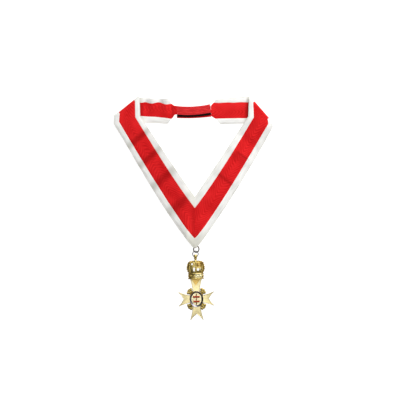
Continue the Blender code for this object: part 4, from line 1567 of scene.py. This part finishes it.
def make_cross(finish, edge_finish):
    """The eight-pointed cross: a domed plate with a bevelled edge in a darker gold of painted shade, and a
    sunk face.
    """
    made = begin(bpy.ops.mesh.primitive_plane_add, "jewel_cross", finish, size=1.0)
    pick_all()
    scale((CROSS_ARMS[0].start * 2 * MM, CROSS_ARMS[0].root * 2 * MM, 1.0), (0.0, 0.0, 0.0))
    bpy.ops.mesh.subdivide(number_cuts=ROOT_CUTS)
    for row in CROSS_ARMS:
        make_arm(row)
    tips = [
        Matrix.Rotation(math.radians(row.turn), 3, "Z") @ mm((row.reach, side * row.spread))
        for row in CROSS_ARMS
        for side in (-1, 1)
    ]
    pick("verts", lambda vertex: any((vertex.co.xy - tip.xy).length < SNAP for tip in tips))
    bpy.ops.mesh.bevel(affect="VERTICES", offset=TIP_CUT, segments=1)
    pick_all()
    pull((0.0, 0.0, PLATE_TOP - CHAMFER))
    pick("verts", lambda vertex: vertex.co.z < WELD)
    scale((1.0, 1.0, 0.0), (0.0, 0.0, 0.0))
    pick_tops(TIP_LEAST)
    bpy.ops.mesh.normals_make_consistent(inside=False)
    inset(CHAMFER, CHAMFER)
    inset(CHAMFER)
    inset(SUNK_EDGE, -SUNK_DEPTH)
    made.data.materials.append(edge_finish)
    made.active_material_index = 1
    pick("faces", lambda face: face.normal.z < EDGE_STEEP)
    bpy.ops.object.material_slot_assign()
    finish_edit(PLATE_ANGLE)
    return made


def make_tongue(finish):
    """The triangle over the notch of the upper arm, sloping down to its point, with a sunk panel."""
    made = begin(
        bpy.ops.mesh.primitive_plane_add, "jewel_tongue", finish,
        size=TONGUE_SIZE, location=(0.0, TONGUE_MIDDLE, 0.0),
    )
    pick("verts", lambda vertex: vertex.co.y < TONGUE_MIDDLE)
    bpy.ops.mesh.merge(type="CENTER")
    for side, *corner in TONGUE:
        pick("verts", lambda vertex: math.isclose(vertex.co.x, side * TONGUE_SIZE / 2, abs_tol=SNAP))
        found = [vertex.co.copy() for vertex in bmesh.from_edit_mesh(made.data).verts if vertex.select]
        shift(mm(corner) - found[0])
    pick_all()
    pull((0.0, 0.0, TONGUE_TOP))
    pick("verts", lambda vertex: vertex.co.z > SNAP and vertex.co.y < TONGUE_MIDDLE)
    shift((0.0, 0.0, -TONGUE_SLOPE))
    pick_tops(SNAP)
    inset(TONGUE_EDGE / 2, TONGUE_EDGE / 4)
    inset(TONGUE_EDGE, -TONGUE_EDGE / 3)
    finish_edit(PLATE_ANGLE)
    return made


def crown_point(row, degrees):
    """A point on the crown's outer face, at a row of its table and a turn round it from the front."""
    turn = math.radians(degrees)
    across = row.radius * MM * math.sin(turn)
    return Vector((across, row.height * MM, row.radius * MM * math.cos(turn) * CROWN_FLAT))


def crown_out(row, degrees):
    """The way out of the crown's face at that point."""
    turn = math.radians(degrees)
    rise = (row.height - BULGE_MIDDLE) / BULGE_REACH
    return Vector((math.sin(turn), rise, math.cos(turn) / CROWN_FLAT)).normalized()


def drill(made, **settings):
    """Cut a piece through by a cylinder."""
    start_fresh()
    bpy.ops.mesh.primitive_cylinder_add(depth=CUT_DEPTH, **settings)
    drilled = settle(bpy.context.object)
    apply_modifier(made, "BOOLEAN", operation="DIFFERENCE", solver="EXACT", object=drilled)
    bpy.data.objects.remove(drilled)


def make_crown(finish):
    """The pierced half-round crown: turned, flattened, halved, hollowed and cut."""
    rows = CROWN_BAND + tuple(finer(CROWN_CAP, CAP_STEPS)[1:])
    made = turned("jewel_crown", rows, CROWN_SIDES, finish)
    bpy.ops.mesh.edge_face_add()
    inset(*CROWN_TOP)
    pick_all()
    bpy.ops.mesh.normals_make_consistent(inside=False)
    scale((1.0, 1.0, CROWN_FLAT), (0.0, 0.0, 0.0))
    bpy.ops.mesh.bisect(plane_co=(0.0, 0.0, 0.0), plane_no=(0.0, 0.0, 1.0), clear_inner=True)
    bpy.ops.object.mode_set(mode="OBJECT")
    apply_modifier(made, "SOLIDIFY", thickness=CROWN_WALL, offset=-1.0)
    for window in WINDOWS:
        place = (window.x * MM, window.y * MM, CUT_DEPTH / 2)
        size = (window.half_width * MM, window.half_height * MM, 1.0)
        drill(made, vertices=WINDOW_SIDES, radius=1.0, location=place, scale=size)
    ease(made, CROWN_EASE)
    take(made)
    bpy.ops.object.shade_smooth_by_angle(angle=math.radians(CAST_ANGLE))
    return made


def make_pearl(finish):
    """A pearl on its seat: a ball whose lower end is drawn out into a flange."""
    made = begin(
        bpy.ops.mesh.primitive_uv_sphere_add, "pearl", finish,
        segments=PEARL_SIDES, ring_count=BALL_RINGS, radius=PEARL_RADIUS,
    )
    pick("faces", lambda face: face.calc_center_median().z < -PEARL_RADIUS * PEARL_SEAT)
    bpy.ops.mesh.delete(type="FACE")
    pick("edges", lambda edge: edge.is_boundary)
    pull((0.0, 0.0, -PEARL_RADIUS * PEARL_NECK))
    scale((PEARL_WIDER, PEARL_WIDER, 1.0), (0.0, 0.0, 0.0))
    pull((0.0, 0.0, -PEARL_RADIUS * PEARL_FLANGE))
    close_ends()
    finish_edit(CAST_ANGLE)
    return made


def make_stud(finish):
    """A round stone in its collar: a cylinder inset in steps and raised to a low dome."""
    made = begin(
        bpy.ops.mesh.primitive_cylinder_add, "stud", finish,
        vertices=STUD_SIDES, radius=STUD_RADIUS, depth=STUD_RADIUS,
    )
    pick("faces", lambda face: face.normal.z > LEVEL)
    for thickness, depth in STUD_INSETS:
        inset(thickness * MM, depth * MM)
    finish_edit(CAST_ANGLE)
    return made


def facing(out, place):
    """The matrix that stands a piece at a place with its top in the direction out."""
    return Matrix.Translation(place) @ out.to_track_quat("Z", "Y").to_matrix().to_4x4()


def make_rib(degrees, finish):
    """One arch of the crown: a wire over its face from the band to the top."""
    path = [crown_point(row, degrees) for row in finer(CROWN_CAP, CAP_STEPS)]
    return wires("rib", [path], RIB_RADIUS, RIB_ROUND, finish)


def make_arches(finish):
    """The crown's arches, each with its row of pearls."""
    pearl = make_pearl(finish)
    pieces = []
    for degrees in RIB_TURNS:
        pieces.append(make_rib(degrees, finish))
        for row in PEARL_ROWS:
            out = crown_out(row, degrees)
            place = crown_point(row, degrees) + out * PEARL_RADIUS * PEARL_SEAT
            pieces.append(copied(pearl, facing(out, place)))
    bpy.data.objects.remove(pearl)
    return joined(pieces, "jewel_arches")


def make_studs(finish):
    """The row of stones round the crown's band."""
    stud = make_stud(finish)
    pieces = []
    for degrees in STUD_TURNS:
        turn = math.radians(degrees)
        out = Vector((math.sin(turn) * CROWN_FLAT, 0.0, math.cos(turn))).normalized()
        pieces.append(copied(stud, facing(out, crown_point(STUD_SEAT, degrees))))
    bpy.data.objects.remove(stud)
    return joined(pieces, "jewel_studs")


def make_bail(finish):
    """The turned bail with its eye from side to side."""
    made = turned("jewel_bail", BAIL, BAIL_SIDES, finish)
    close_ends()
    finish_edit(CAST_ANGLE)
    across = (0.0, math.pi / 2, 0.0)
    drill(made, vertices=BAIL_SIDES, radius=BAIL_HOLE, location=(0.0, BAIL_HOLE_Y, 0.0), rotation=across)
    ease(made, BAIL_EASE)
    made.location.z = BAIL_Z
    return settle(made)


def make_lobe(finish):
    """A fluted shell lobe: a half ball whose every other meridian is drawn in."""
    made = begin(
        bpy.ops.mesh.primitive_uv_sphere_add, "lobe", finish,
        segments=FLUTES * 2, ring_count=BALL_RINGS, radius=1.0,
    )
    step = math.tau / FLUTES

    def in_flute(vertex):
        """Whether a vertex is on a meridian that is drawn in."""
        turn = math.atan2(vertex.co.y, vertex.co.x)
        return abs(math.remainder(turn, step)) < step / 8 and abs(vertex.co.z) < FLUTE_END

    pick("verts", in_flute)
    scale((FLUTE_DEPTH, FLUTE_DEPTH, FLUTE_DEPTH), (0.0, 0.0, 0.0))
    pick("verts", lambda vertex: vertex.co.z < LOBE_FOOT)
    scale((1.0, 1.0, 0.0), (0.0, 0.0, -1.0))
    pick("verts", lambda vertex: vertex.co.z > LOBE_TOP)
    shift((0.0, 0.0, -LOBE_DIMPLE))
    finish_edit(LOBE_ANGLE)
    return made


def make_stem(finish):
    """The stem of the ornament: a bar drawn out from the middle, rounded and thinned to its end."""
    made = begin(
        bpy.ops.mesh.primitive_plane_add, "stem", finish,
        size=STEM_WIDTH, location=(STEM_WIDTH / 2, 0.0, 0.0),
    )
    pick("edges", lambda edge: abs(middle_of(edge).x - STEM_WIDTH) < SNAP)
    for move, narrowing in STEM_STEPS:
        pull((move * MM, 0.0, 0.0))
        scale((1.0, narrowing, 1.0), (0.0, 0.0, 0.0))
    pick_all()
    pull((0.0, 0.0, STEM_TOP))
    pick_tops(SNAP)
    inset(*STEM_ROUND)
    finish_edit(CAST_ANGLE)
    return made


def make_ornaments(finish):
    """The four scrolled ornaments between the arms."""
    lobe = make_lobe(finish)
    stem = make_stem(finish)
    pieces = []
    for side_x, side_y in ((1, 1), (-1, 1), (-1, -1), (1, -1)):
        mirror = Matrix.Diagonal((side_x, side_y, 1.0, 1.0))
        pieces.append(copied(stem, mirror @ Matrix.Rotation(STEM_TURN, 4, "Z")))
        for row in LOBES:
            size = Matrix.Diagonal((row.radius * MM, row.radius * MM, LOBE_HEIGHT, 1.0))
            turn = Matrix.Rotation(row.y, 4, "Z")  # another one for each lobe
            pieces.append(copied(lobe, mirror @ Matrix.Translation(mm((row.x, row.y), LOBE_Z)) @ size @ turn))
    bpy.data.objects.remove(lobe)
    bpy.data.objects.remove(stem)
    return joined(pieces, "jewel_ornaments")


@registered
class CollarCross(bpy.types.Operator):
    """Cast the cross with the tongue and the ornaments soldered to it."""

    bl_idname = "collar.cross"
    bl_label = "Cross"

    def execute(self, context):
        jewel = context.scene.collar_jewel
        # the cross's lower arm tips and its bevels are painted darker: painted shade
        bright = gilding(CROSS_GILT, jewel.painted_light, jewel.gold)
        satin = gilding(SATIN_GILT, jewel.recess, jewel.deep)
        chased = gilding(CHASED_GILT, jewel.recess, jewel.crown)
        edge = gilding(EDGE_GILT, jewel.recess, jewel.painted_light)
        for made in (make_cross(bright, edge), make_tongue(satin), make_ornaments(chased)):
            on_ribbon(made, "jewel")
        return {"FINISHED"}


@registered
class CollarCrown(bpy.types.Operator):
    """Cast the crown with its arches, pearls and stones, and the bail on top."""

    bl_idname = "collar.crown"
    bl_label = "Crown"

    def execute(self, context):
        jewel = context.scene.collar_jewel
        golds = (jewel.recess, jewel.crown)
        # boxes of painted highlight and painted shade on the crown's band and cap
        painted_light = (HIGHLIT_BAND, SHADED_CAP, HIGHLIT_CAP)
        raised = gilding(RAISED_GILT, *golds, painted_light)
        pieces = (
            make_crown(gilding(CROWN_GILT, *golds, painted_light)),
            make_arches(raised),
            make_studs(raised),
            make_bail(gilding(BAIL_GILT, *golds)),
        )
        for made in pieces:
            on_ribbon(made, "jewel")
        return {"FINISHED"}


# Medallion


def oval(name, rows, finish):
    """A form of oval rows: a circle stretched to the first and extruded and scaled through the others."""
    first = rows[0]
    wide = RIM_HALF_WIDTH + first.out * MM
    high = RIM_HALF_HEIGHT + first.out * MM
    made = start_circle(name, RIM_SIDES, wide, (0.0, 0.0, first.z * MM), finish)
    scale((1.0, high / wide, 1.0), (0.0, 0.0, 0.0))
    for before, row in zip(rows, rows[1:]):
        pull((0.0, 0.0, (row.z - before.z) * MM))
        grown = RIM_HALF_WIDTH + row.out * MM, RIM_HALF_HEIGHT + row.out * MM
        scale((grown[0] / wide, grown[1] / high, 1.0), (0.0, 0.0, 0.0))
        wide, high = grown
    return made


def make_bezel(finish):
    """The polished rim: a wall outside, a rounded top and a long slope down to the field."""
    made = oval("medallion_bezel", RIM_ROWS, finish)
    pick("edges", lambda edge: edge.is_boundary)
    bpy.ops.mesh.bridge_edge_loops()
    finish_edit(SET_ANGLE)
    return made


def make_field(finish):
    """The domed field with a fine raised border."""
    made = oval("medallion_face", FIELD_ROWS, finish)
    close_ends()
    finish_edit(SET_ANGLE)
    return made


def nearest(kind, place):
    """Select the one vertex, edge or face nearest to a place, and give its middle."""
    parts = getattr(bmesh.from_edit_mesh(bpy.context.edit_object.data), kind)
    found = min((middle_of(part) for part in parts), key=lambda middle: (middle - place).length)
    pick(kind, lambda part: (middle_of(part) - found).length < WELD)
    return found


def draw_bar(height):
    """Draw the two ends of a bar out of its block on the stem, a little wider at the tips."""
    for side in (-1, 1):
        nearest("edges", Vector((side * STEM_HALF_WIDTH, height, 0.0)))
        run = (BAR_HALF_WIDTH - STEM_HALF_WIDTH) * side
        pull((run * WAIST_AT, 0.0, 0.0))
        scale((1.0, BAR_WAIST, 1.0), (0.0, height, 0.0))
        pull((run * (1 - WAIST_AT), 0.0, 0.0))
        scale((1.0, BAR_FLARE, 1.0), (0.0, height, 0.0))


def make_enamel(finish):
    """The small cross with two bars: drawn flat, raised and rounded off."""
    upper, lower = BARS_Y
    made = begin(
        bpy.ops.mesh.primitive_plane_add, "double_cross_enamel", finish,
        size=2 * BAR_HALF_HEIGHT, location=(0.0, upper, 0.0),
    )
    pick_all()
    scale((STEM_HALF_WIDTH / BAR_HALF_HEIGHT, 1.0, 1.0), (0.0, 0.0, 0.0))
    nearest("edges", Vector((0.0, upper + BAR_HALF_HEIGHT, 0.0)))
    pull((0.0, STEM_HALF_HEIGHT - upper - BAR_HALF_HEIGHT, 0.0))
    nearest("edges", Vector((0.0, upper - BAR_HALF_HEIGHT, 0.0)))
    pull((0.0, lower - upper + 2 * BAR_HALF_HEIGHT, 0.0))
    pull((0.0, -2 * BAR_HALF_HEIGHT, 0.0))
    pull((0.0, BAR_HALF_HEIGHT - lower - STEM_HALF_HEIGHT, 0.0))
    for height in BARS_Y:
        draw_bar(height)
    pick_all()
    shift((0.0, 0.0, ENAMEL_LOW))
    pull((0.0, 0.0, ENAMEL_TOP - ENAMEL_LOW - ENAMEL_EDGE))
    pick_tops(ENAMEL_LOW + SNAP)
    inset(ENAMEL_EDGE, ENAMEL_EDGE)
    finish_edit(SOFT_ANGLE)
    return made


@registered
class CollarMedallion(bpy.types.Operator):
    """Set the oval medallion: the polished rim, the pale field and the red enamel cross."""

    bl_idname = "collar.medallion"
    bl_label = "Medallion"

    def execute(self, context):
        jewel = context.scene.collar_jewel
        on_ribbon(make_bezel(polished_metal()), "medallion_rim")
        on_ribbon(make_field(pale_field()), "medallion_field")
        on_ribbon(make_enamel(fired_enamel(jewel)), "double_cross")
        return {"FINISHED"}


# Stage

BRIGHT_SIDE = (0.45, 0.65, 0.61)  # the way to the bright side of the room
ROOM_DARK = 0.04  # brightness of its dark side
ROOM_TURN = (-0.15, 0.75)  # how far towards the bright side the room starts and ends to brighten
FLOOR_SIZE = 24.0
FLOOR_DROP = 0.2 * MM  # under the surface that the collar lies on
FLOOR_GREY = (0.34, 0.34, 0.34)
FLOOR_GLOW = 0.92
FARTHEST = 50.0  # that the camera sees
Lamp = namedtuple("Lamp", "name size place")
LAMPS = (
    Lamp("key", 1.3, Vector((0.52, 0.95, 0.76))),
    Lamp("side", 0.5, Vector((0.5, 0.0, 0.5))),
    Lamp("top", 1.6, Vector((0.0, 0.0, 2.2))),
)


@registered
class CollarStageUp(bpy.types.Operator):
    """Set the floor, the camera and the lights."""

    bl_idname = "collar.stage"
    bl_label = "Stage"

    def execute(self, context):
        stage = context.scene.collar_stage
        self.make_floor()
        self.make_camera(context, stage)
        self.make_lights(context, stage)
        self.make_world(context, stage)
        context.scene.view_settings.view_transform = "Standard"
        context.scene.view_settings.look = "None"
        return {"FINISHED"}

    def make_floor(self):
        """A wide pale floor just under the collar."""
        start_fresh()
        bpy.ops.mesh.primitive_plane_add(size=FLOOR_SIZE, location=(0.0, 0.0, -FLOOR_DROP))
        finish = Finish("floor", Base_Color=FLOOR_GREY, Roughness=0.9, Specular_IOR_Level=0.05)
        finish.fill(Emission_Color=(1.0, 1.0, 1.0), Emission_Strength=FLOOR_GLOW)
        name_new("floor", finish.material)

    def make_camera(self, context, stage):
        """The camera straight above, with a long lens."""
        data = bpy.data.cameras.new("camera")
        data.sensor_fit = "HORIZONTAL"
        data.lens = data.sensor_width * stage.view_height / stage.view_width
        data.clip_end = FARTHEST
        made = bpy.data.objects.new("camera", data)
        made.location = (stage.view_x, stage.view_y, stage.view_height)
        context.scene.collection.objects.link(made)
        context.scene.camera = made

    def make_lights(self, context, stage):
        """A soft key from the upper right, a faint light on the right and a broad one overhead."""
        for lamp in LAMPS:
            data = bpy.data.lights.new(lamp.name, "AREA")
            data.energy = getattr(stage, lamp.name)
            data.size = lamp.size
            made = bpy.data.objects.new(lamp.name, data)
            made.location = lamp.place
            made.rotation_euler = (-lamp.place).to_track_quat("-Z", "Y").to_euler()
            context.scene.collection.objects.link(made)

    def make_world(self, context, stage):
        """A room that is bright towards the key light and dark on the other side."""
        world = bpy.data.worlds.new("room")
        world.use_nodes = True
        tree = world.node_tree
        back = tree.nodes["Background"]
        toward = tree.nodes.new("ShaderNodeVectorMath")
        toward.operation = "DOT_PRODUCT"
        toward.inputs[1].default_value = BRIGHT_SIDE
        spread = tree.nodes.new("ShaderNodeMapRange")
        for socket, value in zip(spread.inputs[1:5], (*ROOM_TURN, ROOM_DARK, 1.0)):
            socket.default_value = value
        tree.links.new(tree.nodes.new("ShaderNodeTexCoord").outputs["Generated"], toward.inputs[0])
        tree.links.new(toward.outputs["Value"], spread.inputs[0])
        tree.links.new(spread.outputs[0], back.inputs["Color"])
        back.inputs["Strength"].default_value = stage.room
        context.scene.world = world


@registered
class CollarPanel(bpy.types.Panel):
    """The collar's sizes, colours and steps in the sidebar."""

    bl_idname = "VIEW3D_PT_collar"
    bl_label = "Ribbon collar"
    bl_space_type = "VIEW_3D"
    bl_region_type = "UI"
    bl_category = "Collar"

    def draw(self, context):
        for group in (context.scene.collar_cloth, context.scene.collar_jewel, context.scene.collar_stage):
            box = self.layout.box()
            for name in group.__annotations__:
                box.prop(group, name)
        for step in STEPS:
            self.layout.operator("collar." + step)


STEPS = ("stage", "ribbon", "fastening", "hanger", "cross", "crown", "medallion")
GROUPS = {"collar_cloth": CollarCloth, "collar_jewel": CollarJewel, "collar_stage": CollarStage}


def register():
    """Add the classes and the settings to Blender."""
    for cls in CLASSES:
        bpy.utils.register_class(cls)
    for name, group in GROUPS.items():
        setattr(bpy.types.Scene, name, PointerProperty(type=group))


def unregister():
    """Take them away again."""
    for name in GROUPS:
        delattr(bpy.types.Scene, name)
    for cls in reversed(CLASSES):
        bpy.utils.unregister_class(cls)


def main():
    """Build the collar step by step."""
    register()
    for step in STEPS:
        getattr(bpy.ops.collar, step)()


if __name__ == "__main__":
    main()
